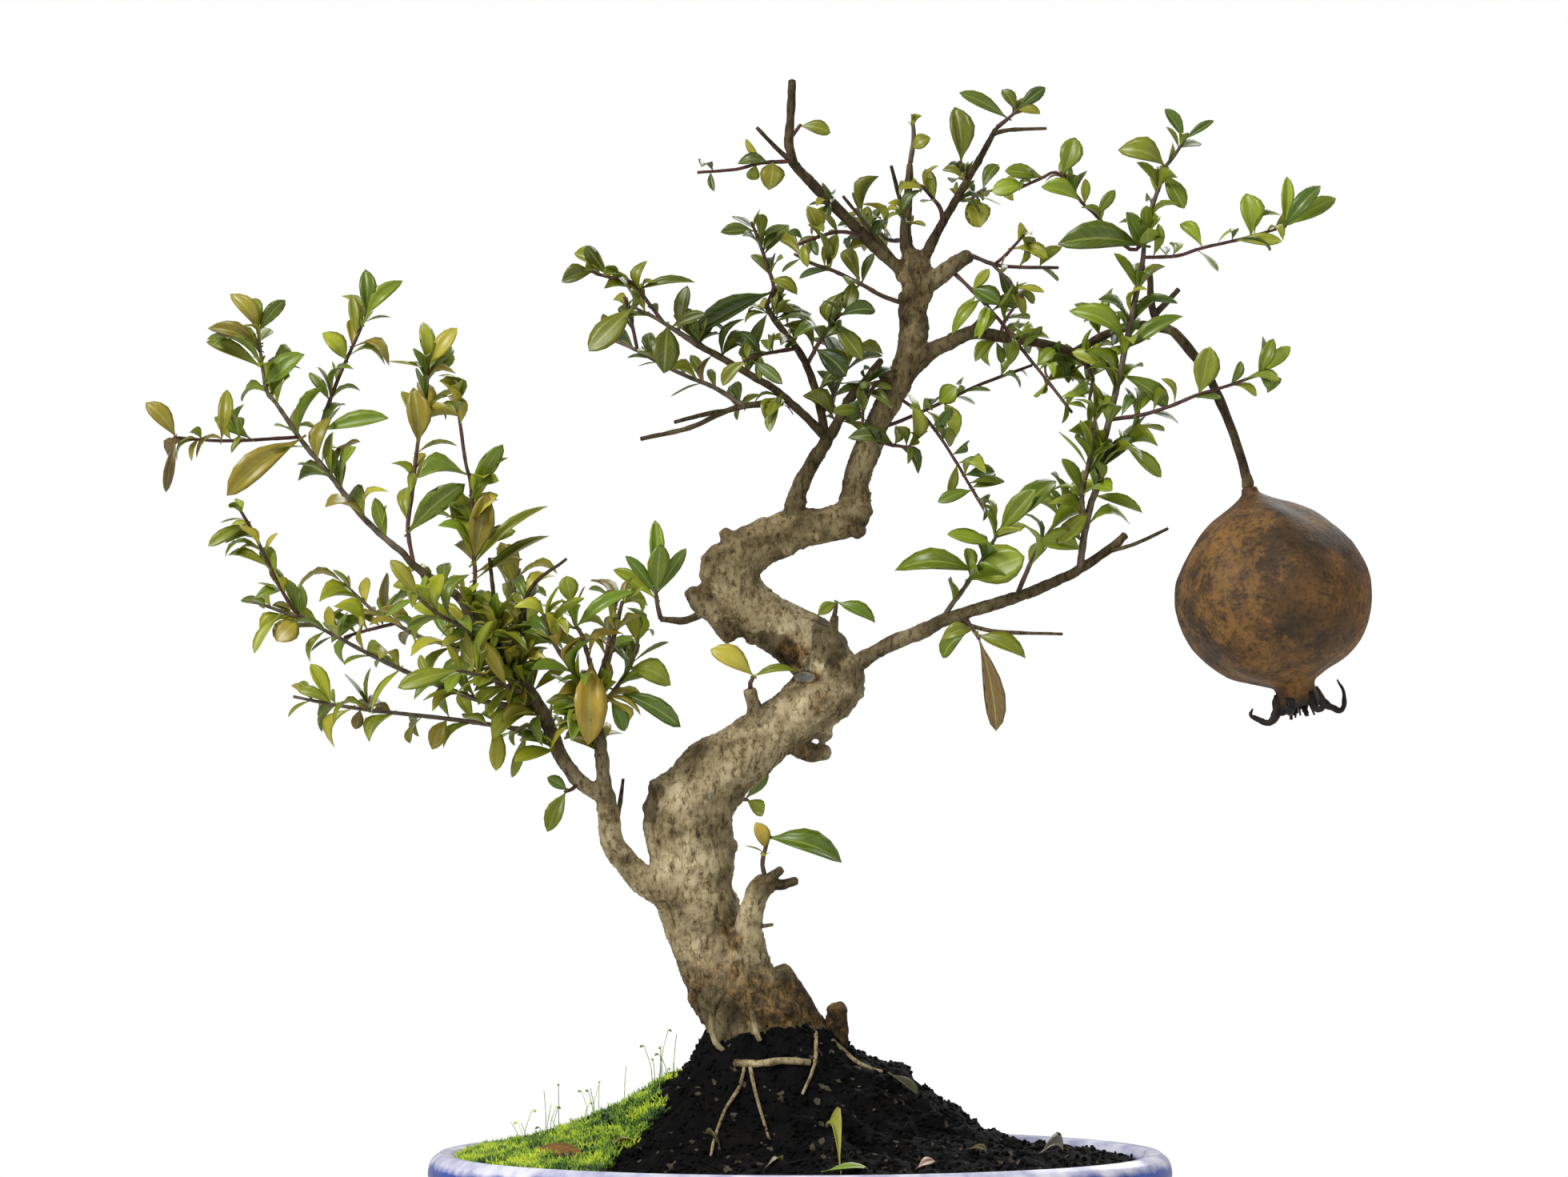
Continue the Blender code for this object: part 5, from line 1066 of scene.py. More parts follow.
def makeMoss(cover, mossFaces):
    green = livingMoss()
    bm = bmesh.new()
    for corners in mossFaces:
        bm.faces.new([bm.verts.new(corner) for corner in corners])
    bmesh.ops.remove_doubles(bm, verts=bm.verts, dist=0.01 * mm)
    bm.normal_update()
    sunk = [v.normal * moss["sunk"] * mm for v in bm.verts]
    for v, move in zip(bm.verts, sunk):
        v.co -= move
    lifted = {}
    for v in list(bm.verts):
        swell = moss["lift"] + 1.2 * noise.noise(v.co / (6 * mm)) + 0.6 * noise.noise(v.co / (2.4 * mm))
        lifted[v] = bm.verts.new(v.co + Vector((-0.15, 0, 1)) * (moss["sunk"] + swell) * mm)
    rim = [edge.verts for edge in bm.edges if edge.is_boundary]
    for face in list(bm.faces):
        bm.faces.new([lifted[v] for v in face.verts])
    for a, b in rim:
        bm.faces.new((a, b, lifted[b], lifted[a]))
    bmesh.ops.recalc_face_normals(bm, faces=bm.faces)
    cushion = meshOf(bm, "mossCushion")
    addPiece("moss_cushion", cushion, (), green)
    tree, start = newTree("mossShoots", {
        "Density": moss["shootsPerSquareMetre"], "Length": moss["shootLong"] * mm,
        "Width": moss["shootWide"] * mm, "Seed": 3})
    facing = addNode(tree, "GeometryNodeInputNormal")
    up = addNode(tree, "ShaderNodeSeparateXYZ", links={0: facing.outputs[0]})
    upper = addNode(tree, "FunctionNodeCompare", {"operation": "GREATER_THAN", "B": 0.15},
                    {"A": up.outputs["Z"]})
    spots = addNode(tree, "GeometryNodeDistributePointsOnFaces", links={
        "Mesh": start["Geometry"], "Selection": upper.outputs[0], "Density": start["Density"],
        "Seed": start["Seed"]})
    spike = addNode(tree, "GeometryNodeMeshCone", {"Vertices": 3, "Radius Top": 0.0}, {
        "Radius Bottom": start["Width"], "Depth": start["Length"]})
    tilt = addNode(tree, "FunctionNodeRandomValue", {
        "data_type": "FLOAT_VECTOR", 0: (-0.75, -0.75, 0), 1: (0.75, 0.75, 6.28)}, {"Seed": start["Seed"]})
    size = addNode(tree, "FunctionNodeRandomValue", {
        "data_type": "FLOAT", 2: 0.35, 3: 1.15}, {"Seed": start["Seed"]})
    placed = addNode(tree, "GeometryNodeInstanceOnPoints", links={
        "Points": spots.outputs["Points"], "Instance": spike.outputs["Mesh"],
        "Rotation": tilt.outputs[0], "Scale": size.outputs[1]})
    endTree(tree, placed.outputs[0], green)
    addPiece("moss_shoots", growOn(cushion.copy(), tree, {"Seed": 3}))
    draw = random.Random(21)
    ground = surfaceOf(cushion)
    bm = bmesh.new()
    for _ in range(moss["stalks"]):
        u = draw.choice(moss["stalksAt"]) + draw.uniform(-9, 9)
        top = seen(u, 1500, draw.uniform(-30, 30))
        hit = ground.ray_cast(Vector((top.x, top.y, 150 * mm)), Vector((0, 0, -1)))[0]
        if not hit:
            continue
        long = draw.uniform(*moss["stalkLong"]) * mm
        bend = Vector((draw.uniform(-2.4, 2.4), draw.uniform(-2, 2), 0)) * mm
        places = [hit - Vector((0, 0, mm)), hit + Vector((0, 0, long * 0.5)),
                  hit + bend + Vector((0, 0, long))]
        addTube(bm, smoothRoute(places, [0.13 * mm, 0.11 * mm, 0.1 * mm], 2.5 * mm), 5)
        if draw.random() < 0.5:
            tip = places[-1]
            drop = tip + bend * 0.55 - Vector((0, 0, 0.4 * mm))
            addTube(bm, [(tip, 0.1 * mm), (tip + bend * 0.3, 0.42 * mm), (drop, 0.2 * mm)],
                    6)  # a nodding capsule
    addPiece("moss_stalks", meshOf(bm, "mossStalks"), (), green)


# Fruit, in mm: radii and heights about its centre, from the neck down to the calyx.
fruit = {
    "centre": (1591, 739), "depth": -4, "tilt": 13, "sides": 96,
    "profile": [(0, 33), (2.2, 33), (3, 31), (6.2, 28.7), (13, 24.8), (19.2, 20.2), (24.4, 14.6),
                (28.6, 7.2), (30.1, -3), (27.4, -13.4), (19.6, -23), (10, -28), (6.3, -30.6), (7, -36.2),
                (5.6, -36), (4.6, -33), (0, -32.4)],
    "sepals": [(8, 1.1, 1.7), (70, 0.5, 0.4), (128, 0.6, 0.5), (186, 1.2, 0.6), (246, 0.55, 0.3),
               (302, 0.8, 0.9)],
    "dents": [(24, 1.1), (9, 0.4), (2.2, 0.12)],  # size and depth
    "sepal": [(5.4, -33), (7.2, -37), (9.6, -39.2), (12.4, -39.0), (14, -36.2), (13, -33.4)],
    "sepalWidths": (1.9, 1.5, 1.15, 0.85, 0.6, 0.3), "stamens": 22,
}


def makeFruit():
    place = Matrix.Translation(seen(*fruit["centre"], fruit["depth"])) @ Matrix.Rotation(
        -math.radians(fruit["tilt"]), 4, "Y")
    corners = fruit["profile"]
    rounded = []
    for fours in zip([corners[0]] + corners, corners, corners[1:], corners[2:] + [corners[-1]]):
        for k in range(6):
            radius, height = [curved(*four, k / 6) for four in zip(*fours)]
            rounded.append((max(radius, 0.05), height))
    rounded = [corners[0]] + rounded[1:] + [corners[-1]]
    bm = bmesh.new()
    charring = bm.verts.layers.float.new("charring")
    addLathe(bm, rounded, fruit["sides"], Matrix.Identity(4))
    bmesh.ops.recalc_face_normals(bm, faces=bm.faces)
    bm.normal_update()
    for v in bm.verts:
        spot = v.co.copy()
        girth = fade(5 * mm, 16 * mm, math.hypot(spot.x, spot.y))
        dent = sum(depth * noise.noise(spot / (size * mm)) for size, depth in fruit["dents"])
        lobes = 0.5 * math.cos(6 * math.atan2(spot.y, spot.x) + 0.6)
        v.co += v.normal * (dent * (0.25 + 0.75 * girth) + lobes * girth) * mm
        v[charring] = fade(-32 * mm, -37 * mm, spot.z)
    draw = random.Random(5)
    for turn, long, curl in fruit["sepals"]:
        spin = Matrix.Rotation(math.radians(turn), 3, "Z")
        places = []
        for k, (radius, height) in enumerate(fruit["sepal"]):
            reach = 5.4 + (radius - 5.4) * long
            drop = -36 + (height + 36) * (long if k < 3 else curl)
            places.append(spin @ Vector((reach * mm, draw.uniform(-0.8, 0.8) * mm, drop * mm)))
        widths = [width * mm for width in fruit["sepalWidths"]]
        addTube(bm, smoothRoute(places, widths, 0.8 * mm), 10, [(charring, 1.0)], 0.35)
    for k in range(fruit["stamens"]):
        spin = Matrix.Rotation(k * 2.4, 3, "Z")
        reach = draw.uniform(0.4, 3.8)
        places = [spin @ Vector((x * mm, 0, z * mm)) for x, z in
                  ((reach * 0.7, -31.5), (reach, -35), (reach * 1.3 + 0.6, -38 - draw.uniform(0, 2.6)))]
        addTube(bm, smoothRoute(places, [0.3 * mm, 0.25 * mm, 0.35 * mm], 1.2 * mm), 5, [(charring, 1.0)])
    mesh = meshOf(bm, "driedFruit")
    mesh.transform(place)
    addPiece("dried_fruit", mesh, ["fruit"], driedRind())


# Wood: knobs as (u, v, depth, radius in mm), the sealed pruning cut, and painted shade as (u, v, reach in
# mm, amount) in the trunk's folds, forks and hollows.
wood = {
    "fineRoots": ("thin_root_left", "thin_root_mid", "thin_root_right", "level_root", "far_root"),
    "surfaceRoots": ("loop_root", "hook_root"), "rootForward": 3.4, "fineShare": 0.8,
    "voxel": 0.7, "thick": 1.9, "step": 1.8, "seal": (1006, 847), "sealSize": (3.6, 1.6),
    "shadeSpots": [(986, 822, 8, 0.95), (1042, 820, 5, 0.8), (1026, 878, 5, 0.5), (905, 792, 5, 0.6),
               (1070, 660, 5, 0.6), (930, 808, 6, 0.7), (1012, 940, 5, 0.7), (880, 735, 4, 0.6),
               (822, 990, 3, 0.7), (1148, 372, 6, 0.5), (1140, 330, 8, 0.6), (830, 1118, 6, 0.5),
               (915, 1170, 5, 0.8), (925, 1210, 6, 0.8)],
    "knobs": [(1072, 664, 2, 3.2), (1082, 640, 3, 2.6), (1052, 668, 0, 2.4), (1024, 672, -2, 2.2),
              (984, 690, -3, 2.0), (880, 738, -3, 3.0), (884, 700, -4, 2.6), (908, 668, 0, 2.8),
              (898, 775, -5, 2.4), (942, 800, 2, 3.2), (990, 818, -5, 3.6), (1012, 805, -4, 3.0),
              (1062, 830, -3, 3.4), (1070, 868, 0, 3.2), (1030, 918, 2, 3.4), (1000, 938, 0, 3.0),
              (940, 905, -4, 2.6), (900, 950, -6, 2.8), (820, 985, -4, 3.2), (812, 1010, -2, 3.0),
              (918, 1000, -3, 2.4), (912, 1058, -4, 2.6), (815, 1048, -5, 2.2), (822, 1105, -4, 4.2),
              (832, 1125, -3, 3.8), (850, 1185, -6, 2.8), (868, 1230, -6, 3.0), (905, 1130, -7, 2.2),
              (885, 1255, -8, 3.2), (920, 1270, -11, 3.4), (968, 1262, -11, 3.0), (1005, 1275, -8, 3.2),
              (1022, 1290, -6, 3.0), (958, 1290, -12, 3.4), (1048, 1262, -4, 3.6), (1150, 380, 3, 3.4),
              (1132, 372, 4, 3.2), (1150, 352, 3, 3.2), (1128, 348, 4, 2.8), (1140, 408, 4, 3.2),
              (1108, 470, 4, 3.0), (1132, 478, 4, 2.6), (1100, 540, 4, 2.2), (1000, 628, 0, 2.6)],
}


def layOnSoil(places, radii, ground):  # a fine root moved along the eye's line onto the soil
    laid = []
    for place, radius in zip(places, radii):
        sight = (place - eye).normalized()
        hit = ground.ray_cast(eye, sight)[0]
        laid.append(hit - sight * radius * 0.8 if hit and abs(hit.y - place.y) < 14 * mm else place)
    return laid


def woodRoutes(ground):
    routes = {"trunk": ([seen(u, v, d) for u, v, d, _ in trunkRoute], [r * mm for *_, r in trunkRoute])}
    for name, one in limbs.items():
        places, radii = spread(one["points"], one["depth"], one["radius"])
        if name in wood["fineRoots"]:
            route = smoothRoute(places, radii, 4 * mm)
            radii = [radius * wood["fineShare"] for _, radius in route]
            places = layOnSoil([point for point, _ in route], radii, ground)
        if name in wood["surfaceRoots"]:
            places = [place + Vector((0, -wood["rootForward"] * mm, 0)) for place in places]
        routes[name] = (places, radii)
    return routes


def fused(bm):  # overlapping limbs and knobs made one skin with soft joints
    bmesh.ops.recalc_face_normals(bm, faces=bm.faces)
    mass = newObject("mass", meshOf(bm, "mass"))
    remesh = mass.modifiers.new("fuse", "REMESH")
    remesh.mode = "VOXEL"
    remesh.voxel_size = wood["voxel"] * mm
    soften = mass.modifiers.new("soften", "SMOOTH")
    soften.iterations = 5
    return baked(mass)


def barkMove(point, radius, heading):  # how far the bark stands out there, in mm
    r = radius / mm
    drawn = point - heading * point.dot(heading) * 0.62  # longer along the grain than across it
    ragged = fade(1.2, 5, r)
    low = fade(118 * mm, 96 * mm, point.z)
    swell = 0.085 * r * noise.noise(point / (9 * mm))
    lump = swell + 0.06 * r * noise.noise(point / (4.5 * mm) + Vector((7, 3, 1)))
    ridge = 0.7 * (0.35 - abs(noise.noise(drawn / (2.8 * mm)))) + 0.42 * noise.noise(drawn / (1.4 * mm))
    return lump + ridge * (0.3 + 0.7 * ragged) * (1 + 1.6 * low)


def grimeAndShadeAt(point, radius, off):  # the seal's dark ring, soil stain near the base, painted shade in the trunk's folds, forks and hollows, and random patches
    stain = 0.9 * fade(142 * mm, 108 * mm, point.z + 9 * mm * noise.noise(point / (11 * mm)))
    grimeAndShade = max(stain * fade(1.2 * mm, 3 * mm, radius), fade(0.85, 1.0, off) * fade(1.7, 1.1, off))
    # painted shade: darker round each listed spot, on the trunk's front only
    for u, v, reach, amount in wood["shadeSpots"]:
        spot = seen(u, v, 0)
        away = math.hypot(point.x - spot.x, point.z - spot.z) + 3 * mm * noise.noise(point / (4 * mm))
        if point.y < 6 * mm:
            grimeAndShade = max(grimeAndShade, amount * fade(reach * mm, 0.4 * reach * mm, away))
    return max(grimeAndShade, 0.35 * fade(0.1, 0.5, noise.noise(point / (13 * mm))))


def makeWood(cover):
    thickBm = bmesh.new()
    thinBm = bmesh.new()
    samples = []
    for places, radii in woodRoutes(surfaceOf(cover)).values():
        route = smoothRoute(places, radii, wood["step"] * mm)
        for i, (point, radius) in enumerate(route):
            ahead = route[min(i + 1, len(route) - 1)][0]
            behind = route[max(i - 1, 0)][0]
            samples.append((point, radius, (ahead - behind).normalized()))
        if max(radii) >= wood["thick"] * mm:
            addTube(thickBm, route, 22, (), 0.16)
        else:
            addTube(thinBm, route, 8, (), 0.22)
    for u, v, depth, radius in wood["knobs"]:
        squash = Matrix.Diagonal((radius * 0.85 * mm, radius * 0.85 * mm, radius * 0.7 * mm, 1))
        place = Matrix.Translation(seen(u, v, depth)) @ squash
        bmesh.ops.create_icosphere(thickBm, subdivisions=3, radius=1, matrix=place)
    finder = finderOf([point for point, _, _ in samples])

    def nearestSample(point):  # the route whose surface passes nearest
        found = finder.find_n(point, 7)
        return samples[min(found, key=lambda hit: abs(hit[2] - samples[hit[1]][1]))[1]]

    bm = bmesh.new()
    bm.from_mesh(fused(thickBm))
    bm.normal_update()
    moves = []
    for v in bm.verts:
        _, radius, heading = nearestSample(v.co)
        moves.append(v.normal * barkMove(v.co, radius, heading) * mm)
    for v, move in zip(bm.verts, moves):
        v.co += move
    fusedCount = len(bm.verts)
    bm.from_mesh(meshOf(thinBm, "thin"))
    mesh = meshOf(bm, "fineWood")
    sight = (seen(*wood["seal"], 0) - eye).normalized()
    seal = surfaceOf(mesh).ray_cast(eye, sight)[0]
    wide, high = [size * mm for size in wood["sealSize"]]
    tone = mesh.color_attributes.new("woodTone", "FLOAT_COLOR", "POINT")
    for v in mesh.vertices:
        _, radius, _ = nearestSample(v.co)
        trunkness = fade(1.5 * mm, 4.5 * mm, radius)
        off = math.hypot((v.co.x - seal.x) / wide, (v.co.z - seal.z) / high)
        off += 3 * max(0.0, abs(v.co.y - seal.y) / (9 * mm) - 1)
        root = fade(112 * mm, 104 * mm, v.co.z) if v.index >= fusedCount else 0.0  # washed roots are pale
        sealed = 0.9 * fade(1.0, 0.75, off)
        tone.data[v.index].color = (max(trunkness, root), sealed, grimeAndShadeAt(v.co, radius, off), 1)
    addPiece("old_wood", mesh, ["wood"], weatheredBark())


# Leaves, in mm and in shares of a leaf's length.
foliage = {
    "breadth": 1.08, "light": (0.62, 1.3), "spurLong": (0.6, 1.2),
    "withered": [(74, 196), (-184, 275), (-125.5, 202), (-19, 305.5)], "witheredReach": 6,
    "brown": "#6A5230",
    "rootBehind": 2.2, "rootInset": 0.8, "lead": 4, "lean": 52, "widthShare": 0.37, "tipFound": 0.25,
    "turnTries": (0, 38, -38, 76, -76, 114, -114, 152),
    "spurEvery": 7.5, "spurs": {"left": 2.0, "centre": 2.0, "inner": 1.52, "crown": 1.04, "column": 1.52},
    "regions": {
        "left": ("shoot_left", "shoot_stub_left"),
        "centre": ("shoot_centre", "shoot_fork_low", "shoot_upright", "shoot_second_trunk",
                   "shoot_trunk_back", "shoot_knuckle"),
        "inner": ("shoot_inner", "shoot_upper"),
        "crown": ("shoot_crown", "shoot_leader"),
        "column": ("shoot_column", "shoot_right", "shoot_middle", "shoot_droop"),
    },
    "rosettes": [  # region, limb, from and to as shares of its length, how many, leaf length
        ("left", "left_limb", 0.22, 1.0, 17, 14), ("left", "left_limb_end", 0.0, 1.0, 5, 13),
        ("left", "left_fork_up", 0.35, 1.0, 7, 15), ("left", "left_stub_a", 0.1, 0.9, 4, 14),
        ("left", "left_stub_b", 0.1, 0.9, 5, 14), ("left", "left_stub_c", 0.1, 1.0, 5, 13),
        ("left", "left_thorn", 0.1, 0.8, 3, 12), ("inner", "inner_left", 0.2, 1.0, 7, 12),
        ("inner", "inner_middle", 0.3, 1.0, 6, 12), ("inner", "inner_branch_up", 0.2, 1.0, 4, 11),
        ("inner", "inner_low", 0.0, 0.4, 2, 9), ("crown", "crown_left", 0.1, 0.7, 5, 10),
        ("crown", "crown_right", 0.15, 0.8, 4, 9), ("crown", "leader", 0.1, 1.0, 4, 7),
        ("column", "middle_branch", 0.45, 1.0, 6, 12), ("column", "middle_reach", 0.0, 0.8, 3, 12),
    ],
    "tints": {
        "left": ["#959B22", "#8A9420", "#7A8C1E", "#A5A02C", "#6E821E", "#ACA038", "#848A22", "#8E7E28",
                 "#64781E"],
        "centre": ["#8C9822", "#788C20", "#9C9E2A", "#647C20", "#A58C30", "#808E24", "#587222"],
        "inner": ["#5E661A", "#4C5A1A", "#6A721A", "#7C801C", "#38481C", "#60681A"],
        "crown": ["#6E741C", "#7E821E", "#525F1C", "#928E24", "#3E5022", "#84841E"],
        "column": ["#74861A", "#80901E", "#62761C", "#909828", "#506820", "#7A881E"],
    },
}


def square(direction, towards):
    return (towards - direction * towards.dot(direction)).normalized()


def lengthOf(places):
    return sum((b - a).length for a, b in zip(places, places[1:]))


def pointAt(places, distance):  # the point at a distance along a route, and the heading there
    for a, b in zip(places, places[1:]):
        length = (b - a).length
        if distance <= length:
            return a + (b - a) * (distance / length), (b - a).normalized()
        distance -= length
    return places[-1].copy(), (places[-1] - places[-2]).normalized()


def nearest(routes, goal):  # the route nearest in the picture, and how far along it
    best = None
    for places, _, lead in routes:
        total = lengthOf(places)
        passed = 0.0
        for a, b in zip(places, places[1:]):
            run = Vector((b.x - a.x, b.z - a.z))
            share = Vector((goal.x - a.x, goal.z - a.z)).dot(run) / max(run.length_squared, 1e-12)
            distance = passed + (b - a).length * max(0, min(1, share))
            distance = max(lead, min(total - foliage["rootInset"] * mm, distance))
            point, _ = pointAt(places, distance)
            gap = math.hypot(point.x - goal.x, point.z - goal.z)
            if best is None or gap < best[0]:
                best = (gap, places, distance)
            passed += (b - a).length
    return best[1:]


def stemRoutes(shoot):
    clear, stems, _ = shoot
    routes = []
    for one in stems:
        places, radii = spread(one["points"], one["depth"], one["radius"])
        lead = foliage["rootBehind"] * mm if routes else (clear + foliage["lead"]) * mm
        if routes:
            root, _ = pointAt(*nearest(routes, places[0]))
            shift = root - places[0]
            places = [place + shift * (1 - i / len(places)) for i, place in enumerate(places)]
        routes.append((places, radii, lead))
    return routes


def leafSlots(shoot, number):  # the leaves of a shoot, each as (foot, tip, face, width) by choice
    _, stems, singles = shoot
    draw = random.Random(1000 + number)
    routes = stemRoutes(shoot)
    slots = []
    for start, tip, width, reach in singles:
        foot, _ = pointAt(*nearest(routes, seen(*start, 0)))
        end = seen(*tip, foot.y / mm + reach)
        slots.append([(foot, end, square((end - foot).normalized(), Vector((0.15, -1, 0.45))), width * mm)])
    for one, (places, _, lead) in zip(stems, routes):
        usable = lengthOf(places) - foliage["rootInset"] * mm - lead
        firstTurn = draw.uniform(0, 180)
        for i in range(one["pairs"]):
            share = min((i + 0.7) / (one["pairs"] - 0.1), 1)
            for half in (0, 180):
                turn = firstTurn + 90 * i + half + draw.uniform(-18, 18)
                lean = math.radians(foliage["lean"] + draw.uniform(-14, 14))
                length = one["blade"] * mm * draw.uniform(0.78, 1.18) * (1 - 0.25 * share)
                foot, heading = pointAt(places, lead + share * usable)
                side = square(heading, Vector((0.3, -1, 0.2)))
                choices = []
                for extra in foliage["turnTries"]:
                    out = Matrix.Rotation(math.radians(turn + extra), 3, heading) @ side
                    direction = (heading * math.cos(lean) + out * math.sin(lean)).normalized()
                    face = square(direction, heading * 0.5 + Vector((0.1, -0.45, 0.75)))
                    choices.append((foot, foot + direction * length, face, length * foliage["widthShare"]))
                slots.append(choices)
    return slots


def spurLeaves(shoot, number, share):  # small leaves on the short spurs between the pairs
    _, stems, _ = shoot
    draw = random.Random(500 + number)
    leaves = []
    for one, (places, _, lead) in zip(stems, stemRoutes(shoot)):
        usable = lengthOf(places) - foliage["rootInset"] * mm - lead
        for _ in range(round(usable / (foliage["spurEvery"] * mm) * share)):
            foot, heading = pointAt(places, lead + draw.uniform(0.02, 1) * usable)
            side = square(heading, Vector((0.3, -1, 0.2)))
            out = Matrix.Rotation(draw.uniform(0, 2 * math.pi), 3, heading) @ side
            lean = math.radians(draw.uniform(30, 95))
            direction = (heading * math.cos(lean) + out * math.sin(lean) + Vector((0, 0,
                                                                                   0.15))).normalized()
            length = one["blade"] * mm * draw.uniform(*foliage["spurLong"])
            face = square(direction, heading * 0.5 + Vector((draw.uniform(-0.4, 0.6), -0.45, 0.75)))
            leaves.append((foot, foot + direction * length, face, length * draw.uniform(0.26, 0.4)))
    return leaves


def rosetteLeaves(draw, name, first, last, count, long):  # tufts of leaves on an old limb
    places, radii = spread(limbs[name]["points"], limbs[name]["depth"], limbs[name]["radius"])
    leaves = []
    for _ in range(count):
        share = draw.uniform(first, last)
        spot, heading = pointAt(places, share * lengthOf(places))
        side = square(heading, Vector((0.3, -1, 0.2)))
        out = Matrix.Rotation(draw.uniform(0, 2 * math.pi), 3, heading) @ side
        foot = spot + out * between((radii[0], radii[-1]), share) * 0.8
        for _ in range(draw.randrange(3, 6)):
            spray = Vector([draw.uniform(-1, 1) for _ in range(3)])
            direction = (out + spray * 0.85 + Vector((-0.1, 0, 0.35))).normalized()
            length = long * mm * draw.uniform(0.6, 1.15)
            face = square(direction, Vector((draw.uniform(-0.4, 0.4), -0.5, 0.8)))
            leaves.append((foot, foot + direction * length, face, length * draw.uniform(0.27, 0.4)))
    return leaves


leafForms = [  # arch, fold, curl of the tip, twist, blunt tip
    (0.07, 0.12, 0.02, 0.1, 0.8), (0.12, 0.22, 0.08, 0.4, 0.9), (0.05, 0.1, -0.05, -0.3, 0.7),
    (0.18, 0.3, 0.18, 0.5, 0.9), (0.1, 0.16, 0.04, -0.6, 1.0), (0.06, 0.34, -0.08, 0.3, 0.7),
    (0.22, 0.2, 0.3, -0.3, 0.8), (0.09, 0.45, 0.06, 0.8, 0.6),
]


def makeLeafForms():  # unit leaves: width 1 across X, length 1 along Y, the upper side towards Z
    shapes = bpy.data.collections.new("leafForms")
    stations = (-0.07, 0.05, 0.13, 0.27, 0.45, 0.63, 0.8, 0.92, 1.0)
    for number, (arch, fold, curl, twist, blunt) in enumerate(leafForms):
        bm = bmesh.new()
        rows = []
        for t in stations:
            blade = max(0.0, (t - 0.07) / 0.93)
            bulge = math.sin(math.pi * blade ** (1.1 + 0.25 * blunt)) ** (0.9 - 0.3 * blunt)
            half = 0.5 * max(0.09, bulge) if t < 1 else 0.0
            lift = arch * math.sin(math.pi * max(t, 0)) - curl * max(0, t - 0.6) ** 2 * 4
            sway = 0.07 * twist * math.sin(math.pi * max(t, 0))
            row = []
            for across in (-1, -0.5, 0, 0.5, 1):
                wave = 0.008 * math.sin(5 * t + across * 2 + number) * abs(across)
                x = across * half + sway
                z = lift + fold * abs(across) * half + twist * across * half * 0.5 * t + wave
                thick = 0.016 * (1 - across * across) + (0.012 if t < 0.1 else 0)
                row.append((Vector((x, t, z)), Vector((0, 0, thick / 2))))
            rows.append(row)
        uv = bm.loops.layers.uv.new("leafMap")
        upper = [[bm.verts.new(spot + half) for spot, half in row] for row in rows]
        lower = [[upperRow[k] if k in (0, 4) else bm.verts.new(spot - half) for k,
                  (spot, half) in enumerate(row)]
                 for row, upperRow in zip(rows, upper)]
        for sheet, order in ((upper, 1), (lower, -1)):
            for j in range(len(rows) - 1):
                for k in range(4):
                    corners = [(j, k), (j, k + 1), (j + 1, k + 1), (j + 1, k)][::order]
                    face = bm.faces.new([sheet[row][column] for row, column in corners])
                    for loop, (row, column) in zip(face.loops, corners):
                        loop[uv].uv = (max(0, stations[row]), column / 4)
        bmesh.ops.remove_doubles(bm, verts=bm.verts, dist=0.0005)
        bmesh.ops.holes_fill(bm, edges=[edge for edge in bm.edges if edge.is_boundary])
        shapes.objects.link(bpy.data.objects.new(f"leafForm{number}", meshOf(bm, f"leafForm{number}")))
    return shapes


def leafTree(shapes, material):
    tree, start = newTree("leafSpray", {"Length": 1.0, "Width": 1.0})
    forms = addNode(tree, "GeometryNodeCollectionInfo", {
        "Collection": shapes, "Separate Children": True, "Reset Children": True})
    form = addNode(tree, "GeometryNodeInputNamedAttribute", {"data_type": "INT", "Name": "form"})
    turn = addNode(tree, "GeometryNodeInputNamedAttribute", {"data_type": "QUATERNION", "Name": "turn"})
    size = addNode(tree, "GeometryNodeInputNamedAttribute", {"data_type": "FLOAT_VECTOR", "Name": "size"})
    factor = addNode(tree, "ShaderNodeCombineXYZ", links={
        "X": start["Width"], "Y": start["Length"], "Z": start["Length"]})
    sized = addNode(tree, "ShaderNodeVectorMath", {"operation": "MULTIPLY"},
                    {0: size.outputs[0], 1: factor.outputs[0]})
    placed = addNode(tree, "GeometryNodeInstanceOnPoints", {"Pick Instance": True}, {
        "Points": start["Geometry"], "Instance": forms.outputs[0], "Instance Index": form.outputs[0],
        "Rotation": turn.outputs[0], "Scale": sized.outputs[0]})
    endTree(tree, placed.outputs[0], material)
    return tree


def sprayPoints(leaves):  # a mesh of points that carry each leaf's turn, size, form and tint
    mesh = bpy.data.meshes.new("sprayPoints")
    mesh.from_pydata([leaf["foot"] for leaf in leaves], [], [])
    kinds = {"turn": "QUATERNION", "size": "FLOAT_VECTOR", "form": "INT", "tint": "FLOAT_COLOR"}
    for name, kind in kinds.items():
        mesh.attributes.new(name, kind, "POINT")
    turns, sizes, forms, tints = [mesh.attributes[name].data for name in kinds]
    for i, leaf in enumerate(leaves):
        run = leaf["tip"] - leaf["foot"]
        along = run.normalized()
        face = square(along, leaf["face"])
        turns[i].value = Matrix((along.cross(face), along, face)).transposed().to_quaternion()
        sizes[i].vector = (leaf["width"], run.length, run.length)
        forms[i].value = leaf["form"]
        tints[i].color = leaf["tint"]
    return mesh


def newLeaf(draw, region, foot, tip, face, width):
    tint = toLinear(draw.choice(foliage["tints"][region]))
    light = draw.uniform(*foliage["light"])
    reach = foliage["witheredReach"]
    if any(math.hypot(tip.x / mm - x, tip.z / mm - z) < reach for x, z in foliage["withered"]):
        tint = toLinear(foliage["brown"])
    return {"foot": foot, "tip": tip, "face": face, "width": width * foliage["breadth"],
            "form": draw.randrange(len(leafForms)), "tint": [c * light for c in tint[:3]] + [1]}


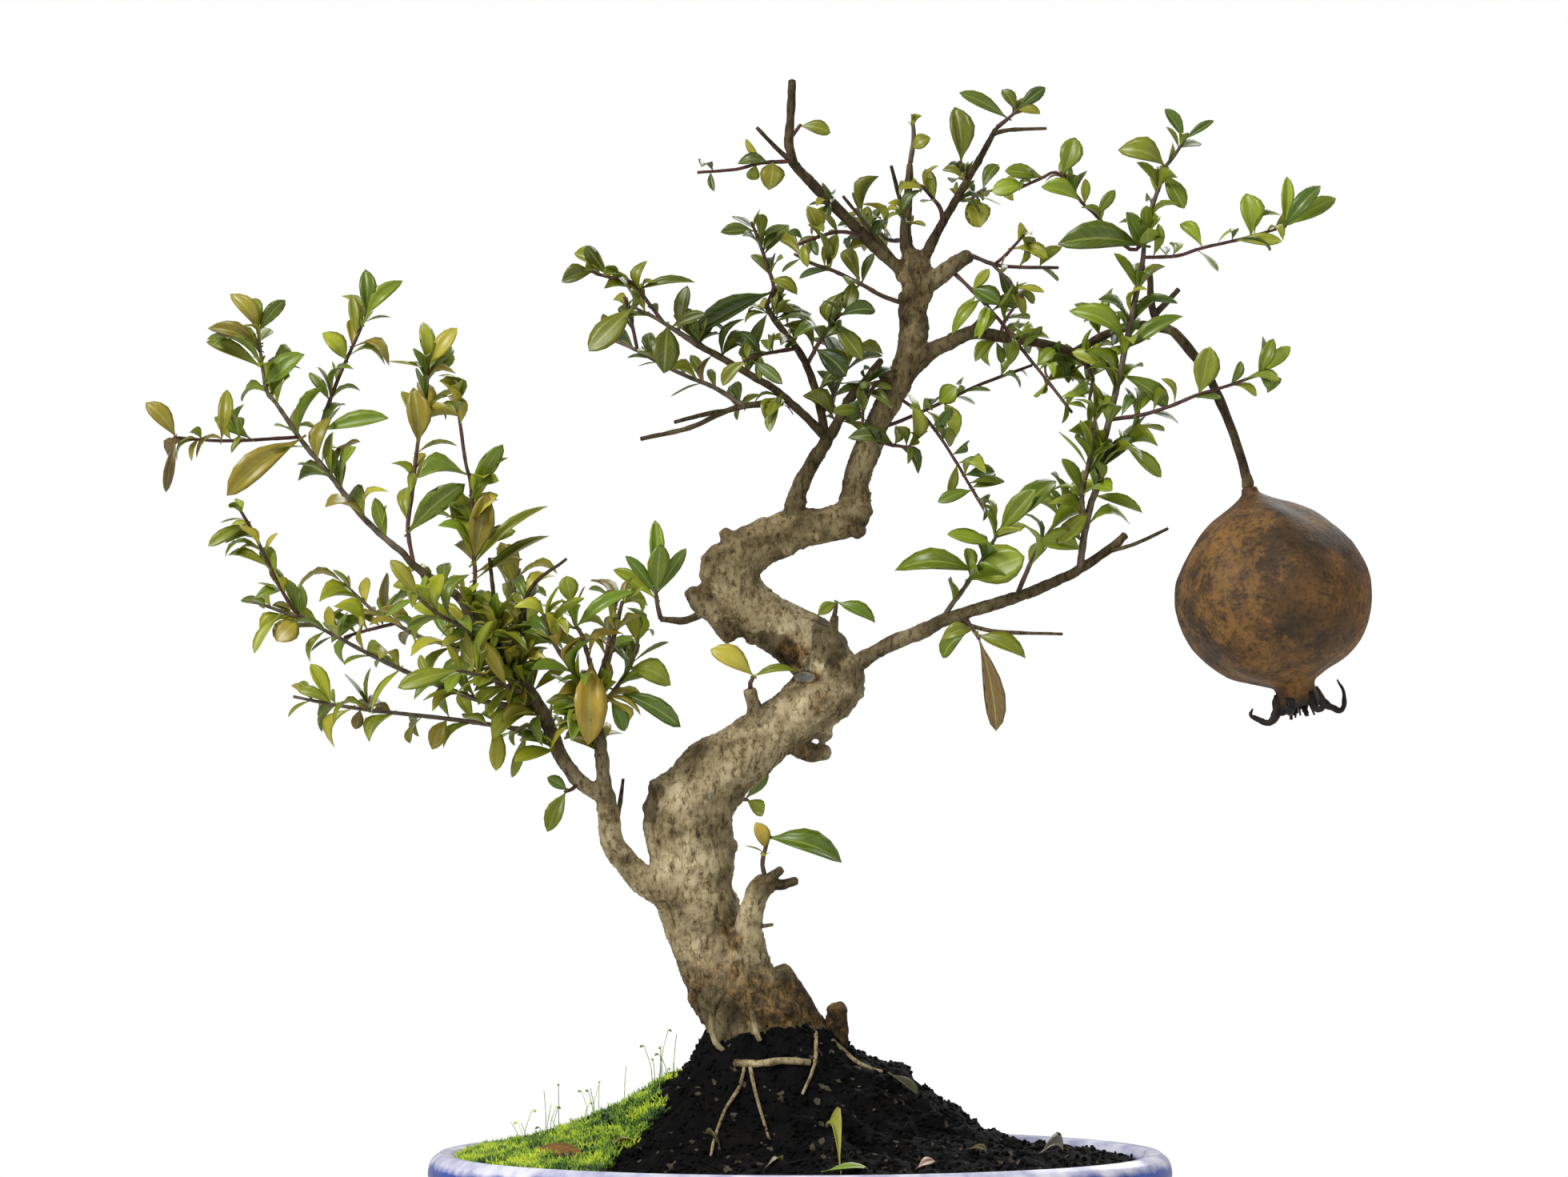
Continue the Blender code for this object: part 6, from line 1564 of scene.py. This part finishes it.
# What has fallen on the soil, as (foot, tip, width in mm, tint, form).
fallen = [
    ((655, 1444), (735, 1456), 3.6, "#7E5222", 2), ((1050, 1466), (1035, 1404), 3.0, "#A2A245", 1),
    ((1030, 1468), (1086, 1464), 3.4, "#7C9634", 0), ((1146, 1464), (1168, 1456), 3.0, "#8C5034", 2),
    ((1112, 1346), (1146, 1374), 5.0, "#3E3C2C", 5), ((958, 1462), (978, 1452), 2.0, "#8E8A60", 1),
    ((1210, 1440), (1236, 1446), 2.4, "#5C4A30", 6), ((880, 1420), (900, 1436), 2.2, "#4E4030", 7),
    ((1300, 1446), (1330, 1440), 2.6, "#3F3424", 4), ((760, 1440), (792, 1428), 2.6, "#6E5A2C", 3),
]


def makeFallen(spray, cover):
    ground = surfaceOf(cover)
    leaves = []
    for foot, tip, width, tint, form in fallen:
        ends = [ground.ray_cast(eye, (seen(*spot, 0) - eye).normalized())[0] for spot in (foot, tip)]
        if None in ends:
            continue
        ends = [end + Vector((0, -0.5, 0.8)) * mm for end in ends]
        leaves.append({"foot": ends[0], "tip": ends[1], "face": Vector((0.1, -0.5, 0.8)),
                       "width": width * mm,
                       "form": form, "tint": toLinear(tint)})
    addPiece("fallen_leaves", growOn(sprayPoints(leaves), spray, {"Length": 1.0}))


def makeShoots(spray, twigSkin):
    draw = random.Random(77)
    kept = 0
    left = 0
    for region, starts in foliage["regions"].items():
        names = [name for name in shoots if name.startswith(starts)]
        leaves = []
        bm = bmesh.new()
        age = bm.verts.layers.float.new("age")
        for name in names:
            number = list(shoots).index(name)
            tips = finderOf([v.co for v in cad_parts[name].data.vertices])
            for places, radii, _ in stemRoutes(shoots[name]):
                old = fade(0.62, 1.0, radii[0] / mm)
                addTube(bm, smoothRoute(places, radii, 1.7 * mm), 7, [(age, old)], 0.25)
            for slot in leafSlots(shoots[name], number):
                found = [choice for choice in slot if tips.find(choice[1])[2] < foliage["tipFound"] * mm]
                if not found:
                    left += 1
                    continue
                kept += 1
                foot, tip, face, width = found[0]
                leaves.append(newLeaf(draw, region, foot, tip, face, width * draw.uniform(0.85, 1.05)))
            for spur in spurLeaves(shoots[name], number, foliage["spurs"][region]):
                leaves.append(newLeaf(draw, region, *spur))
        for place, limbName, first, last, count, long in foliage["rosettes"]:
            if place == region:
                for tuft in rosetteLeaves(draw, limbName, first, last, count, long):
                    leaves.append(newLeaf(draw, region, *tuft))
        addPiece(region + "_stems", meshOf(bm, region + "Stems"), (), twigSkin)
        addPiece(region + "_leaves", growOn(sprayPoints(leaves), spray, {"Length": 1.0}), names)
    print("leaves", kept, "not in the model", left)


# Studio, in metres and watts: a round pale floor, a large soft light over the left shoulder,
# two fills and a white surround.
studio = {
    "floorRadius": 0.62, "surround": 0.42, "aim": 0.22,
    "lights": [("key", (-1.3, -1.2, 1.5), 0.9, 44), ("fill", (1.3, -1.4, 0.5), 1.2, 5),
               ("rim", (0.6, 1.3, 1.3), 1.0, 16)],
}


# Matt painted board: even off-white, so that the shadow alone shows.
def paleBoard():
    material, tree, surface, place = newMaterial("matt_painted_board")
    grain = addNode(tree, "ShaderNodeTexNoise", {"Scale": 40.0, "Detail": 3.0}, {"Vector": place})
    tone = addNode(tree, "ShaderNodeValToRGB", {"stops": [(0.3, "#EDEDEB"), (0.7, "#F5F5F4")]},
                   {"Fac": grain.outputs["Fac"]})
    tree.links.new(tone.outputs[0], surface.inputs["Base Color"])
    surface.inputs["Roughness"].default_value = 0.9
    return material


def makeStudio():
    scene = bpy.context.scene
    bm = bmesh.new()
    bmesh.ops.create_circle(bm, cap_ends=True, segments=128, radius=studio["floorRadius"])
    floor = newObject("floor", meshOf(bm, "floor"))
    floor.data.materials.append(paleBoard())
    for name, spot, size, power in studio["lights"]:
        light = bpy.data.lights.new(name, "AREA")
        light.size = size
        light.energy = power
        lamp = newObject(name, light)
        lamp.location = spot
        sight = Vector((0, 0, studio["aim"])) - Vector(spot)
        lamp.rotation_euler = sight.to_track_quat("-Z", "Y").to_euler()
    world = bpy.data.worlds.new("surround")
    world.use_nodes = True
    tree = world.node_tree
    tree.nodes.clear()
    path = addNode(tree, "ShaderNodeLightPath")  # pure white behind the object, a softer white on it
    strength = addNode(tree, "ShaderNodeMapRange", {"To Min": studio["surround"], "To Max": 1.0},
                       {"Value": path.outputs["Is Camera Ray"]})
    white = addNode(tree, "ShaderNodeBackground", {"Color": (1, 1, 1, 1)},
                    {"Strength": strength.outputs[0]})
    addNode(tree, "ShaderNodeOutputWorld", links={"Surface": white.outputs[0]})
    scene.world = world
    camera = bpy.data.cameras.new("camera")
    camera.sensor_width = 36
    camera.lens = camera.sensor_width * picture["away"] / picture["across"]
    camera.clip_start = 0.05
    viewer = newObject("camera", camera)
    viewer.location = eye
    viewer.rotation_euler = (math.radians(90), 0, 0)
    scene.camera = viewer
    scene.view_settings.view_transform = "Standard"


print("studio")
makeStudio()
print("pot")
makePot()
meshPlastic = blackMesh()
for name in ("drain_screen_left", "drain_screen_right"):
    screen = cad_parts[name]
    screen.data.materials.clear()
    screen.data.materials.append(meshPlastic)
print("soil and moss")
cover, mossFaces = makeSoil()
makeMoss(cover, mossFaces)
print("wood")
makeWood(cover)
print("fruit")
makeFruit()
print("shoots and leaves")
spray = leafTree(makeLeafForms(), waxyLeaf())
makeShoots(spray, youngShoot())
makeFallen(spray, cover)
